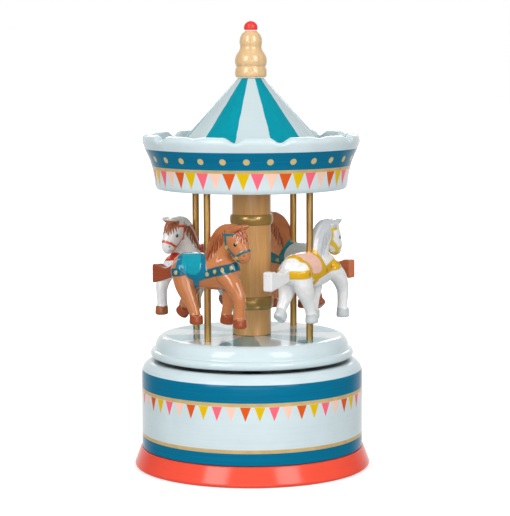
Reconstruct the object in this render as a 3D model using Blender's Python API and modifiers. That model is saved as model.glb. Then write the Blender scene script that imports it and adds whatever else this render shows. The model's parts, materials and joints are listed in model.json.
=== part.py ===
"""Wind-up carousel music box in turned and painted wood, at its real size.

Metres, +Z up. The origin is the centre of the base's underside and the front looks along -Y.
Turning the turntable winds the mainspring; the spring turns it back and plays the movement
that hangs from the drum's ceiling.
"""

import math

import bmesh
import bpy
from mathutils import Matrix, Vector

# Clearances
GAP = 0.0003                # between pieces that touch or nest
RUNNING = 0.0005            # between pieces that pass each other as they turn
PAST = 0.0010               # how far a cutter runs past the face it cuts
BITE = 0.0005               # how far joined shapes run into each other

# Base and drum
BASE_HEIGHT = 0.0093
BASE_FLARE = 0.0037         # how far the foot stands out past the drum
BASE_LEDGE = 0.0005         # how far the ring's top edge does
BASE_EDGE = 0.0010          # rounding of the foot's edge
DRUM_RADIUS = 0.0520
SPIGOT_INSET = 0.0043       # the drum's foot steps in to enter the base ring
DRUM_TOP = 0.0504
DRUM_SHOULDER = 0.0060      # radius of the rounded top edge
DRUM_WALL = 0.0090
CEILING = 0.0060            # thickness of wood above the movement
COVER_THICKNESS = 0.0022
COVER_RECESS = 0.0010       # cover's underside above the table
COVER_SCREW_LENGTH = 0.0085
COVER_SCREW_DEPTH = 0.0110  # top of the screw holes

# Turntable
TABLE_GAP = 0.0014          # air between drum and turntable
TABLE_HEIGHT = 0.0104
TABLE_BEAD_RADIUS = 0.0478
TABLE_BEAD_SIZE = 0.0020
TABLE_GROOVE_RADIUS = 0.0456
TABLE_TOP_RADIUS = 0.0410
TENON_RADIUS = 0.0050
TENON_DEPTH = 0.0050
HUB_RADIUS = 0.0090
HUB_THICKNESS = 0.0022
BOSS_RADIUS = 0.00405
BOSS_REACH = 0.0010         # how far the boss stops above the drum's ceiling
HUB_SCREW_CIRCLE = 0.0066
HUB_SCREW_LENGTH = 0.0042

# Column, poles, canopy, roof and finial
COLUMN_RADIUS = 0.0091
COLUMN_BEAD_RADIUS = 0.0103
COLUMN_HEIGHT = 0.0688      # from turntable to canopy
LOWER_BEAD = (0.0122, 0.0182)   # heights above the turntable
UPPER_BEAD = (0.0518, 0.0568)
POLE_RADIUS = 0.0016
POLE_CIRCLE = 0.0335
POLE_COUNT = 4
HORSE_DATUM = 0.0622        # the carving's heights count from this far under the turntable's top
TAIL_THICKNESS = 0.0048
FIRST_POLE = math.radians(53)
CANOPY_SOFFIT_RADIUS = 0.0445
CANOPY_LIP_RADIUS = 0.0509
CANOPY_HEIGHT = 0.0258
CANOPY_DISH = 0.0064        # depth of the dish inside the rim
CANOPY_DISH_RADIUS = 0.0455
CANOPY_LIP = 0.0031         # from the widest line up to the crests
CANOPY_RIM = 0.0023         # from the dish's edge out to the crests
POLE_SOCKET = 0.0080
SCALLOPS = 15
SCALLOP_DEPTH = 0.0025
FIRST_SCALLOP = math.radians(21.6)
CONE_FOOT_RADIUS = 0.0346
CONE_TOP_RADIUS = 0.0072
CONE_HEIGHT = 0.0315
FINIAL_RADIUS = 0.00745
FINIAL_HEIGHT = 0.0219
FINIAL_TENON_RADIUS = 0.0025
FINIAL_TENON_LENGTH = 0.0080
BALL_PIN_RADIUS = 0.0010
BALL_PIN_LENGTH = 0.0050
BALL_RADIUS = 0.0032

# Movement
PLATE_THICKNESS = 0.0020
PLATE_CORNER = 0.0030
SHAFT_RADIUS = 0.0020
CROWN_TEETH = 40
PINION_TEETH = 10
PINION_RADIUS = 0.0036      # pitch radius of the two crown pinions
PINION_WIDTH = 0.0018
ADDENDUM = 0.00055
DEDENDUM = 0.00085
CROWN_DISC = 0.0015
CROWN_BAND = 0.0019         # radial length of the crown teeth
HOUSING_RADIUS = 0.0115
HOUSING_HEIGHT = 0.0148
HOUSING_WALL = 0.0010
HOUSING_FLOOR = 0.0012
PILLAR_RADIUS = 0.0020
SPRING_TURNS = 6
SPRING_STRIP = 0.00035
SPRING_POINTS = 10
CYLINDER_RADIUS = 0.0054
CYLINDER_LENGTH = 0.0150
PIN_HEIGHT = 0.0007
PIN_SIZE = 0.0003
PINS_EACH = 3               # pins that pluck each tooth
PIN_CLEAR = 0.00065         # air between the pins and the bedplate
COMB_TEETH = 18
COMB_TOOTH_LENGTH = 0.0080
COMB_BASE = 0.0060
COMB_THICKNESS = 0.0010
ARBOR_RADIUS = 0.0010
BRACKET = 0.0010
BRACKET_HALF_WIDTH = 0.0040
FOOT_THICKNESS = 0.0012     # feet of the brackets and of the governor frame
FOOT_LENGTH = 0.0042
SPUR_MODULE = 0.0005
TRAIN_TEETH = 24
GOVERNOR_PINION_TEETH = 8
WORM_WHEEL_TEETH = 24
WORM_RADIUS = 0.0015        # pitch radius
WORM_STARTS = 2
FLY_RADIUS = 0.0042
FLY_HEIGHT = 0.0040

# Screws: shank radius, head radius, head height
WOOD_SCREW = (0.0010, 0.0019, 0.0009)
SMALL_SCREW = (0.0008, 0.0015, 0.0008)

# Heights that follow from the sizes above
TABLE_BOTTOM = DRUM_TOP + TABLE_GAP
TABLE_TOP = TABLE_BOTTOM + TABLE_HEIGHT
CANOPY_BOTTOM = TABLE_TOP + COLUMN_HEIGHT
CANOPY_TOP = CANOPY_BOTTOM + CANOPY_HEIGHT
DISH_FLOOR = CANOPY_TOP - CANOPY_DISH
CONE_BOTTOM = DISH_FLOOR + GAP
CONE_TOP = CONE_BOTTOM + CONE_HEIGHT
FINIAL_BOTTOM = CONE_TOP + GAP
FINIAL_TOP = FINIAL_BOTTOM + FINIAL_HEIGHT
BASE_FOOT_RADIUS = DRUM_RADIUS + BASE_FLARE
BASE_TOP_RADIUS = DRUM_RADIUS + BASE_LEDGE
SPIGOT_RADIUS = DRUM_RADIUS - SPIGOT_INSET
CAVITY_RADIUS = DRUM_RADIUS - DRUM_WALL
CEILING_Z = DRUM_TOP - CEILING
PLATE_TOP = CEILING_Z - GAP
PLATE_BOTTOM = PLATE_TOP - PLATE_THICKNESS
UNDER_PLATE = PLATE_BOTTOM - GAP
CROWN_RADIUS = PINION_RADIUS * CROWN_TEETH / PINION_TEETH
CROWN_OUTER = CROWN_RADIUS + 0.0008
ARBOR_Z = PLATE_BOTTOM - PIN_CLEAR - PIN_HEIGHT - CYLINDER_RADIUS
PITCH_Z = ARBOR_Z + PINION_RADIUS
CROWN_FACE = PITCH_Z + DEDENDUM
CROWN_TOP = CROWN_FACE + CROWN_DISC
PILLAR_OFFSET = CROWN_OUTER + PILLAR_RADIUS + 0.0008
RIDE_HEIGHT = TABLE_TOP - HORSE_DATUM
HUB_RECESS = TABLE_BOTTOM + HUB_THICKNESS + 2 * GAP
BORE = ARBOR_RADIUS + GAP


# Collections and shared helpers

for leftover in list(bpy.data.objects):
    bpy.data.objects.remove(leftover, do_unlink=True)

PARTS = bpy.data.collections.new("carousel_music_box")
CUTTERS = bpy.data.collections.new("cutters")
for home in (PARTS, CUTTERS):
    bpy.context.scene.collection.children.link(home)


def material(name, colour, roughness, metallic=0.0):
    """A plain Principled material."""
    made = bpy.data.materials.new(name)
    made.use_nodes = True
    shader = made.node_tree.nodes["Principled BSDF"]
    shader.inputs["Base Color"].default_value = (*colour, 1.0)
    shader.inputs["Roughness"].default_value = roughness
    shader.inputs["Metallic"].default_value = metallic
    return made


def finish(obj, finish_material, parent=None):
    """Gives a piece its material, smooth shading and, on a moving body, its axis empty."""
    obj.data.materials.clear()
    obj.data.materials.append(finish_material)
    if obj.type == "MESH" and obj.data.polygons:
        obj.data.shade_smooth()
        obj.data.set_sharp_from_angle(angle=math.radians(35))
    if parent:
        obj.parent = parent
    return obj


def axis_empty(name, location=(0, 0, 0), along_x=False):
    """An empty on a joint axis; its own Z runs along the axis."""
    empty = bpy.data.objects.new(name, None)
    empty.location = location
    empty.rotation_euler = (0, math.pi / 2 if along_x else 0, 0)
    empty.empty_display_size = 0.01
    PARTS.objects.link(empty)
    return empty


def from_bmesh(name, bm, home=PARTS):
    """Turns a bmesh into an object."""
    mesh = bpy.data.meshes.new(name)
    bm.to_mesh(mesh)
    bm.free()
    obj = bpy.data.objects.new(name, mesh)
    home.objects.link(obj)
    if home is CUTTERS:
        obj.hide_render = True
        obj.display_type = "WIRE"
    return obj


def box(name, low, high, home=PARTS):
    """A box between two corners."""
    low, high = Vector(low), Vector(high)
    bm = bmesh.new()
    place = Matrix.Translation((low + high) / 2) @ Matrix.Diagonal((*(high - low), 1))
    bmesh.ops.create_cube(bm, size=1, matrix=place)
    return from_bmesh(name, bm, home)


def rod(name, radius, bottom, top, at=(0, 0), sides=16, home=PARTS):
    """An upright rod."""
    bm = bmesh.new()
    bmesh.ops.create_cone(bm, cap_ends=True, segments=sides, radius1=radius,
                          radius2=radius, depth=top - bottom,
                          matrix=Matrix.Translation((*at, (bottom + top) / 2)))
    return from_bmesh(name, bm, home)


def turned(name, outline, steps=40, closed=False, home=PARTS):
    """A turned piece. The outline is (radius, height) points that run down the outer side."""
    mesh = bpy.data.meshes.new(name)
    links = [(i, i + 1) for i in range(len(outline) - 1)]
    if closed:
        links.append((len(outline) - 1, 0))
    mesh.from_pydata([(r, 0, z) for r, z in outline], links, [])
    obj = bpy.data.objects.new(name, mesh)
    home.objects.link(obj)
    screw = obj.modifiers.new("Turn", "SCREW")
    screw.steps = screw.render_steps = steps
    screw.use_merge_vertices = True
    screw.merge_threshold = 0.00001
    return obj


def arc(centre, radius, start, end, count):
    """Points on an arc in the turning plane, angles in degrees from the +radius direction."""
    angles = [math.radians(start + (end - start) * i / count) for i in range(count + 1)]
    return [(centre[0] + radius * math.cos(a), centre[1] + radius * math.sin(a)) for a in angles]


def made_mesh(obj):
    """Replaces an object by the mesh that its modifiers make, with its caps welded."""
    graph = bpy.context.evaluated_depsgraph_get()
    mesh = bpy.data.meshes.new_from_object(obj.evaluated_get(graph), depsgraph=graph)
    bm = bmesh.new()
    bm.from_mesh(mesh)
    bmesh.ops.remove_doubles(bm, verts=bm.verts, dist=0.000001)
    bm.to_mesh(mesh)
    bm.free()
    made = bpy.data.objects.new(obj.name, mesh)
    made.matrix_world = obj.matrix_world
    for home in obj.users_collection:
        home.objects.link(made)
    name = obj.name
    bpy.data.objects.remove(obj, do_unlink=True)
    made.name = name
    return made


def cut(obj, *cutters):
    """Subtracts cutters that stay live."""
    for cutter in cutters:
        step = obj.modifiers.new("Cut " + cutter.name, "BOOLEAN")
        step.object = cutter
    return obj


def join(obj, *others):
    """Unites shapes from the cutter collection with a piece."""
    for other in others:
        step = obj.modifiers.new("Join " + other.name, "BOOLEAN")
        step.operation = "UNION"
        step.object = other
    return obj


def outline_curve(name, loops, thickness):
    """A flat outline with holes, extruded both ways from its own XY plane."""
    curve = bpy.data.curves.new(name, "CURVE")
    curve.dimensions = "2D"
    curve.fill_mode = "BOTH"
    curve.extrude = thickness / 2
    for loop in loops:
        spline = curve.splines.new("POLY")
        spline.points.add(len(loop) - 1)
        for point, (x, y) in zip(spline.points, loop):
            point.co = (x, y, 0, 1)
        spline.use_cyclic_u = True
    obj = bpy.data.objects.new(name, curve)
    PARTS.objects.link(obj)
    return obj


def circle(radius, count):
    """Points round a circle."""
    turn = 2 * math.pi / count
    return [(radius * math.cos(i * turn), radius * math.sin(i * turn)) for i in range(count)]


def gear(name, teeth, root, tip, width, bore, phase=0.0, root_share=0.56, tip_share=0.30):
    """A spur gear with straight-flanked teeth; phase is the angle of one tooth's middle."""
    pitch = 2 * math.pi / teeth
    points = []
    for i in range(teeth):
        middle = phase + i * pitch
        corners = ((root, -root_share), (tip, -tip_share), (tip, tip_share), (root, root_share))
        for radius, share in corners:
            angle = middle + share * pitch / 2
            points.append((radius * math.cos(angle), radius * math.sin(angle)))
    return outline_curve(name, [points, circle(bore, 12)], width)


def screw(name, at, seat, length, size, steel, parent=None):
    """A screw driven upwards: its head hangs below the seat height."""
    shank, head, thick = size
    outline = [(0, seat + length), (shank, seat + length - shank),
               (shank, seat), (head, seat), (head, seat - thick * 0.6),
               (head * 0.7, seat - thick), (0, seat - thick)]
    obj = turned(name, outline, 10)
    obj.location = (*at, 0)
    return finish(obj, steel, parent)


def loft(name, rings):
    """A closed tube through rings of equally many points, for sections that differ."""
    bm = bmesh.new()
    made = [[bm.verts.new(point) for point in ring] for ring in rings]
    count = len(rings[0])
    for low, high in zip(made, made[1:]):
        for i in range(count):
            j = (i + 1) % count
            bm.faces.new((low[i], low[j], high[j], high[i]))
    bm.faces.new(list(reversed(made[0])))
    bm.faces.new(made[-1])
    return from_bmesh(name, bm)


# Finishes

RED_PAINT = material("coral_red_paint", (0.98, 0.15, 0.08), 0.3)
BLUE_PAINT = material("pale_blue_paint", (0.64, 0.78, 0.80), 0.2)
WOOD = material("lacquered_wood", (0.55, 0.33, 0.15), 0.3)
LIGHT_WOOD = material("light_wood", (0.83, 0.58, 0.32), 0.3)
FIBREBOARD = material("fibreboard", (0.30, 0.19, 0.11), 0.7)
BRASS = material("brass", (0.60, 0.43, 0.18), 0.3, 1.0)
STEEL = material("steel", (0.55, 0.56, 0.58), 0.3, 1.0)
SPRING_STEEL = material("spring_steel", (0.25, 0.28, 0.33), 0.3, 1.0)
ZINC = material("cast_zinc", (0.50, 0.50, 0.50), 0.45, 1.0)
NYLON = material("white_nylon", (0.85, 0.85, 0.80), 0.45)
BROWN_PAINT = material("brown_paint", (0.58, 0.19, 0.07), 0.2)
WHITE_PAINT = material("white_paint", (0.85, 0.85, 0.86), 0.2)
RUST_PAINT = material("rust_paint", (0.38, 0.09, 0.03), 0.25)

# Joint axes

TURN_AXIS = axis_empty("turntable_axis")
CYLINDER_AXIS = axis_empty("cylinder_axis", (0, 0, ARBOR_Z), along_x=True)
TRAIN_AXIS = axis_empty("train_axis", (0, 0, ARBOR_Z), along_x=True)
TRAIN_DISTANCE = SPUR_MODULE * (TRAIN_TEETH + GOVERNOR_PINION_TEETH) / 2
GOVERNOR_DROP = 0.0025
GOVERNOR_Y = math.sqrt(TRAIN_DISTANCE ** 2 - GOVERNOR_DROP ** 2)
GOVERNOR_Z = ARBOR_Z - GOVERNOR_DROP
GOVERNOR_AXIS = axis_empty("governor_axis", (0, GOVERNOR_Y, GOVERNOR_Z), along_x=True)
WORM_WHEEL_RADIUS = SPUR_MODULE * WORM_WHEEL_TEETH / 2
CHEEK_INNER = CROWN_OUTER + 0.0020      # the governor frame stands clear of the crown gear
CHEEK_OUTER = CHEEK_INNER + 0.0140
CHEEK = 0.0012
TRAIN_X = CHEEK_INNER + 0.0028
FLY_X = CHEEK_OUTER - 0.0042
FLY_Y = GOVERNOR_Y + WORM_WHEEL_RADIUS + WORM_RADIUS
FLY_AXIS = axis_empty("fly_axis", (FLY_X, FLY_Y, 0))


# Base ring, drum and bottom cover

def make_case():
    """The turned base ring and drum, with the cover that closes the drum's foot."""
    outline = [(BASE_TOP_RADIUS, BASE_HEIGHT - GAP), (BASE_FOOT_RADIUS, BASE_EDGE * 1.5),
               (BASE_FOOT_RADIUS - BASE_EDGE * 0.4, BASE_EDGE * 0.4),
               (BASE_FOOT_RADIUS - BASE_EDGE * 1.5, 0), (SPIGOT_RADIUS + GAP, 0),
               (SPIGOT_RADIUS + GAP, BASE_HEIGHT - GAP)]
    finish(turned("base_ring", outline, 48, closed=True), RED_PAINT)

    spigot_foot = COVER_RECESS + COVER_THICKNESS + GAP
    shoulder = (DRUM_RADIUS - DRUM_SHOULDER, DRUM_TOP - DRUM_SHOULDER)
    ceiling_hole = BOSS_RADIUS + RUNNING + GAP
    outline = [(ceiling_hole, DRUM_TOP), *arc(shoulder, DRUM_SHOULDER, 90, 0, 3),
               (DRUM_RADIUS, BASE_HEIGHT), (SPIGOT_RADIUS, BASE_HEIGHT),
               (SPIGOT_RADIUS, spigot_foot), (CAVITY_RADIUS, spigot_foot),
               (CAVITY_RADIUS, CEILING_Z), (ceiling_hole, CEILING_Z)]
    drum = turned("drum_body", outline, 48, closed=True)
    cover = rod("bottom_cover", SPIGOT_RADIUS, COVER_RECESS, COVER_RECESS + COVER_THICKNESS, sides=40)

    shank = WOOD_SCREW[0]
    screw_circle = (SPIGOT_RADIUS + CAVITY_RADIUS) / 2
    seat = COVER_RECESS + COVER_THICKNESS / 2
    for i in range(3):
        turn = math.radians(90 + 120 * i)
        at = (screw_circle * math.cos(turn), screw_circle * math.sin(turn))
        label = str(i + 1)
        hole = rod("cover_hole_" + label, shank + GAP, 0, COVER_SCREW_DEPTH, at, 10, CUTTERS)
        sink = rod("cover_sink_" + label, WOOD_SCREW[1] + GAP, 0, seat, at, 10, CUTTERS)
        cut(drum, hole)
        cut(cover, hole, sink)
        screw("cover_screw_" + label, at, seat - GAP, COVER_SCREW_LENGTH, WOOD_SCREW, STEEL)
    finish(cover, FIBREBOARD)
    return finish(drum, BLUE_PAINT)


# Turntable and the hub that ties it to the winding shaft

def pole_places():
    """The poles' azimuths and centres."""
    for i in range(POLE_COUNT):
        turn = FIRST_POLE + 2 * math.pi * i / POLE_COUNT
        yield turn, (POLE_CIRCLE * math.cos(turn), POLE_CIRCLE * math.sin(turn))


def make_turntable():
    """The moulded turntable, its hub flange and the flange's screws."""
    bead = (TABLE_BEAD_RADIUS - TABLE_BEAD_SIZE, TABLE_BOTTOM + TABLE_BEAD_SIZE)
    bead_top = bead[1] + TABLE_BEAD_SIZE
    reach = TABLE_GROOVE_RADIUS - TABLE_TOP_RADIUS
    rise = TABLE_TOP - bead_top
    ogee = [(TABLE_TOP_RADIUS + reach * math.cos(a), bead_top + rise * math.sin(a))
            for a in [math.radians(90 - 30 * i) for i in range(4)]]
    socket = TABLE_TOP - TENON_DEPTH
    outline = [(0, socket), (TENON_RADIUS + GAP, socket), (TENON_RADIUS + GAP, TABLE_TOP), *ogee,
               *arc(bead, TABLE_BEAD_SIZE, 60, -90, 3), (HUB_RADIUS + GAP, TABLE_BOTTOM),
               (HUB_RADIUS + GAP, HUB_RECESS), (0, HUB_RECESS)]
    table = turned("turntable", outline, 48)
    for i, (_, at) in enumerate(pole_places()):
        hole = rod("pole_foot_hole_%d" % (i + 1), POLE_RADIUS + GAP, socket, TABLE_TOP + PAST, at,
                   16, CUTTERS)
        cut(table, hole)

    top = HUB_RECESS - GAP
    bottom = top - HUB_THICKNESS
    shaft_bore = SHAFT_RADIUS + GAP
    outline = [(shaft_bore, top), (HUB_RADIUS, top), (HUB_RADIUS, bottom),
               (BOSS_RADIUS, bottom), (BOSS_RADIUS, CEILING_Z + BOSS_REACH),
               (shaft_bore, CEILING_Z + BOSS_REACH)]
    hub = turned("hub_flange", outline, 24, closed=True)
    for i in range(3):
        turn = math.radians(30 + 120 * i)
        at = (HUB_SCREW_CIRCLE * math.cos(turn), HUB_SCREW_CIRCLE * math.sin(turn))
        hole = rod("hub_hole_%d" % (i + 1), SMALL_SCREW[0] + GAP, bottom - PAST,
                   bottom + HUB_SCREW_LENGTH, at, 10, CUTTERS)
        cut(hub, hole)
        cut(table, hole)
        screw("hub_screw_%d" % (i + 1), at, bottom - GAP, HUB_SCREW_LENGTH, SMALL_SCREW, STEEL,
              TURN_AXIS)
    finish(hub, ZINC, TURN_AXIS)
    finish(table, BLUE_PAINT, TURN_AXIS)


# Column, canopy, roof cone and finial

def make_column():
    """The turned column with its two beads and a tenon at each end."""
    def bead(low, high):
        size = (high - low) / 2
        middle = TABLE_TOP + (low + high) / 2
        swell = COLUMN_BEAD_RADIUS - COLUMN_RADIUS
        return [(COLUMN_RADIUS + swell * math.cos(a), middle + size * math.sin(a))
                for a in [math.radians(90 - 60 * i) for i in range(4)]]

    foot = TABLE_TOP + GAP
    head = CANOPY_BOTTOM - GAP
    outline = [(0, CONE_BOTTOM + TENON_DEPTH - GAP), (TENON_RADIUS, CONE_BOTTOM + TENON_DEPTH - GAP),
               (TENON_RADIUS, head), (COLUMN_RADIUS, head), *bead(*UPPER_BEAD), *bead(*LOWER_BEAD),
               (COLUMN_RADIUS, foot), (TENON_RADIUS, foot),
               (TENON_RADIUS, TABLE_TOP - TENON_DEPTH + GAP), (0, TABLE_TOP - TENON_DEPTH + GAP)]
    finish(turned("column", outline, 24), WOOD, TURN_AXIS)


def scallop(angle):
    """How deep the rim dips at an azimuth, from 0 on a crest to 1 in a valley."""
    pitch = 2 * math.pi / SCALLOPS
    off = (angle - FIRST_SCALLOP + pitch / 2) % pitch - pitch / 2
    return math.cos(min(1.0, abs(off) / (pitch / 4)) * math.pi / 2) ** 2


def make_canopy():
    """The dished canopy with its scalloped rim."""
    lip_z = CANOPY_TOP - CANOPY_LIP
    crest = CANOPY_DISH_RADIUS + CANOPY_RIM
    sweep = CANOPY_LIP_RADIUS - CANOPY_SOFFIT_RADIUS
    flare = [(CANOPY_SOFFIT_RADIUS + sweep * (i / 3) ** 2.2,
              CANOPY_BOTTOM + 0.0015 + (lip_z - CANOPY_BOTTOM - 0.0015) * (i / 3) ** 0.85)
             for i in range(3, -1, -1)]
    outline = [(TENON_RADIUS + GAP, DISH_FLOOR), (CANOPY_DISH_RADIUS, DISH_FLOOR),
               (CANOPY_DISH_RADIUS + 0.0006, CANOPY_TOP - 0.0010), (crest, CANOPY_TOP),
               (CANOPY_LIP_RADIUS - 0.0010, CANOPY_TOP - 0.0016), *flare,
               (CANOPY_SOFFIT_RADIUS - 0.0007, CANOPY_BOTTOM), (TENON_RADIUS + GAP, CANOPY_BOTTOM)]
    canopy = made_mesh(turned("canopy", outline, 4 * SCALLOPS, closed=True))
    for vertex in canopy.data.vertices:
        x, y, z = vertex.co
        share = max(0.0, (z - lip_z) / (CANOPY_TOP - lip_z))
        if math.hypot(x, y) > CANOPY_DISH_RADIUS:
            vertex.co.z = z - share * SCALLOP_DEPTH * scallop(math.atan2(y, x))
    for i, (_, at) in enumerate(pole_places()):
        hole = rod("pole_head_hole_%d" % (i + 1), POLE_RADIUS + GAP, CANOPY_BOTTOM - PAST,
                   CANOPY_BOTTOM + POLE_SOCKET, at, 16, CUTTERS)
        cut(canopy, hole)
    finish(canopy, BLUE_PAINT, TURN_AXIS)


FINIAL_SWELLS = (
    # shares of the finial's radius and height, from its top down
    (0.403, 1.0), (0.617, 0.890), (0.711, 0.753), (0.678, 0.616), (0.832, 0.511), (1.0, 0.374),
    (0.933, 0.242), (0.987, 0.183), (1.0, 0.096), (0.906, 0.0))


def make_roof():
    """The roof cone, the turned finial and its ball."""
    tenon = FINIAL_TENON_RADIUS
    socket = CONE_TOP - FINIAL_TENON_LENGTH
    outline = [(0, socket), (tenon + GAP, socket), (tenon + GAP, CONE_TOP),
               (CONE_TOP_RADIUS - 0.0010, CONE_TOP), (CONE_TOP_RADIUS, CONE_TOP - 0.0010),
               (CONE_FOOT_RADIUS, CONE_BOTTOM), (TENON_RADIUS + GAP, CONE_BOTTOM),
               (TENON_RADIUS + GAP, CONE_BOTTOM + TENON_DEPTH), (0, CONE_BOTTOM + TENON_DEPTH)]
    finish(turned("roof_cone", outline, 48), BLUE_PAINT, TURN_AXIS)

    big, pin = FINIAL_RADIUS, BALL_PIN_RADIUS
    base = FINIAL_BOTTOM
    pin_foot = FINIAL_TOP - BALL_PIN_LENGTH
    swells = [(radius * big, base + height * FINIAL_HEIGHT) for radius, height in FINIAL_SWELLS]
    outline = [(0, pin_foot), (pin + GAP, pin_foot), (pin + GAP, FINIAL_TOP), *swells,
               (tenon, base), (tenon, socket + GAP), (0, socket + GAP)]
    finish(turned("finial", outline, 20), LIGHT_WOOD, TURN_AXIS)

    seat = FINIAL_TOP + GAP
    centre = seat + BALL_RADIUS * 0.34
    ball = arc((0, centre), BALL_RADIUS, 90, -20, 6)
    outline = [*ball, (pin, seat), (pin, pin_foot + GAP), (0, pin_foot + GAP)]
    finish(turned("finial_ball", outline, 16), RED_PAINT, TURN_AXIS)


# Poles, horses and their tails

LEG_SPREAD = 0.0038
HORSE_LEGS = {
    # points are (forward, height, radius) in millimetres, from the body down to the hoof
    "outer_fore": (-1, ((13, 94, 4.4), (18.5, 89, 3.9), (21.3, 84, 3.2), (21.3, 78, 2.6),
                        (21, 74.2, 2.8), (21.2, 70.8, 3.2))),
    "inner_fore": (1, ((9, 94, 4.4), (9.6, 86, 3.6), (8.6, 79, 2.6), (7.6, 74.5, 2.8), (7.8, 71, 3.2))),
    "outer_hind": (-1, ((-11.5, 94, 5.4), (-9.5, 87, 4.6), (-6.7, 81, 3.2), (-5, 76.5, 2.6),
                        (-4, 73.8, 2.9), (-3.8, 70.6, 3.2))),
    "inner_hind": (1, ((-12, 93, 5.4), (-12.3, 86.5, 4.3), (-14.6, 81.5, 3.0), (-17, 77.8, 2.6),
                       (-18.6, 74.8, 3.2))),
}
HORSE_NECK = ((6.5, 95, 8.5), (7, 101, 8.0), (9, 106.5, 7.2), (12.8, 110, 6.4), (16.8, 109.3, 5.6),
              (20, 106.8, 4.6), (22.2, 104.6, 3.4), (23.4, 103.2, 2.2))


def tube(name, points, side=0.0, flatten=1.0):
    """A tapering limb through (forward, height, radius) points, as a mesh to be joined."""
    curve = bpy.data.curves.new(name, "CURVE")
    curve.dimensions = "3D"
    curve.twist_mode = "MINIMUM"
    curve.bevel_depth = 0.001
    curve.bevel_resolution = 1
    curve.use_fill_caps = True
    spline = curve.splines.new("POLY")
    spline.points.add(len(points) - 1)
    for point, (forward, height, radius) in zip(spline.points, points):
        point.co = (forward * 0.001, 0, height * 0.001, 1)
        point.radius = radius
    limb = bpy.data.objects.new(name, curve)
    CUTTERS.objects.link(limb)
    limb = made_mesh(limb)
    limb.data.transform(Matrix.Translation((0, side, 0)) @ Matrix.Diagonal((1, flatten, 1, 1)))
    limb.hide_render = True
    limb.display_type = "WIRE"
    return limb


def make_horse_shape():
    """One carved horse round its pole: forward is +X, and -Y faces outwards."""
    bm = bmesh.new()
    barrel = Matrix.Translation((-0.0010, 0, 0.0947)) @ Matrix.Diagonal((0.0190, 0.0063, 0.0083, 1))
    bmesh.ops.create_uvsphere(bm, u_segments=12, v_segments=7, radius=1, matrix=barrel)
    horse = from_bmesh("horse_blank", bm)
    join(horse, tube("horse_neck", HORSE_NECK, flatten=0.62))
    for name, (side, points) in HORSE_LEGS.items():
        join(horse, tube("horse_" + name, points, side * LEG_SPREAD))
    for side in (-1, 1):
        ear = ((15.5, 112.5, 1.9), (19, 115.6, 1.3), (21.5, 116.5, 0.5))
        join(horse, tube("horse_ear_%s" % ("right" if side < 0 else "left"), ear, side * 0.0020))
    bore = rod("horse_bore", POLE_RADIUS + GAP, 0.0600, 0.1200, sides=16, home=CUTTERS)
    return made_mesh(cut(horse, bore))


def make_riders():
    """Four horses on their poles; the shape is made once and shared."""
    shape = make_horse_shape()
    root = -0.0204
    tail = [(root, 0.0970), (-0.0245, 0.0952), (-0.0318, 0.0962), (-0.0316, 0.0876),
            (-0.0255, 0.0890), (root, 0.0915)]
    coats = (BROWN_PAINT, WHITE_PAINT, BROWN_PAINT, WHITE_PAINT)
    places = zip(("back_right", "back_left", "front_left", "front_right"), pole_places(), coats)
    for place, (turn, at), coat in places:
        pole = rod("pole_" + place, POLE_RADIUS, TABLE_TOP - TENON_DEPTH + GAP,
                   CANOPY_BOTTOM + POLE_SOCKET - GAP)
        pole.location = (*at, 0)
        finish(pole, BRASS, TURN_AXIS)
        horse = bpy.data.objects.new("horse_" + place, shape.data.copy())
        PARTS.objects.link(horse)
        horse.location = (*at, RIDE_HEIGHT)
        horse.rotation_euler = (0, 0, turn + math.pi / 2)
        finish(horse, coat, TURN_AXIS)
        slab = outline_curve("tail_" + place, [tail], TAIL_THICKNESS)
        slab.location = (*at, RIDE_HEIGHT)
        slab.rotation_euler = (math.pi / 2, 0, turn + math.pi / 2)
        finish(slab, RUST_PAINT, TURN_AXIS)
    bpy.data.objects.remove(shape, do_unlink=True)


# Movement: bedplate, spring and drive gear

CYLINDER_START = -(CROWN_OUTER + 0.0018)
CYLINDER_END = CYLINDER_START - CYLINDER_LENGTH
COMB_SCREWS = (CYLINDER_START - 0.0035, CYLINDER_END + 0.0035)
TIP_REACH = CYLINDER_RADIUS + PIN_HEIGHT + GAP
COMB_HEEL = TIP_REACH + COMB_TOOTH_LENGTH
COMB_SCREW_Y = -(COMB_HEEL + COMB_BASE / 2)
BRACKET_FOOT = (0.0050, 0.0112)     # how far the feet reach sideways
FRAME_SCREW = (CHEEK_INNER + 0.0073, -0.0108)
PLATE_LOW = (CYLINDER_END - 0.0030, -(COMB_HEEL + COMB_BASE + 0.0026))
PLATE_HIGH = (CHEEK_OUTER + CHEEK + 0.0016, PILLAR_OFFSET + 0.0030)
PLATE_SCREWS = ((0.0140, PLATE_LOW[1] + 0.0045), (PLATE_LOW[0] + 0.0090, PLATE_HIGH[1] - 0.0045),
                (0.0100, PLATE_HIGH[1] - 0.0025))
PLATE_SCREW_DEPTH = 0.0045


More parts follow.
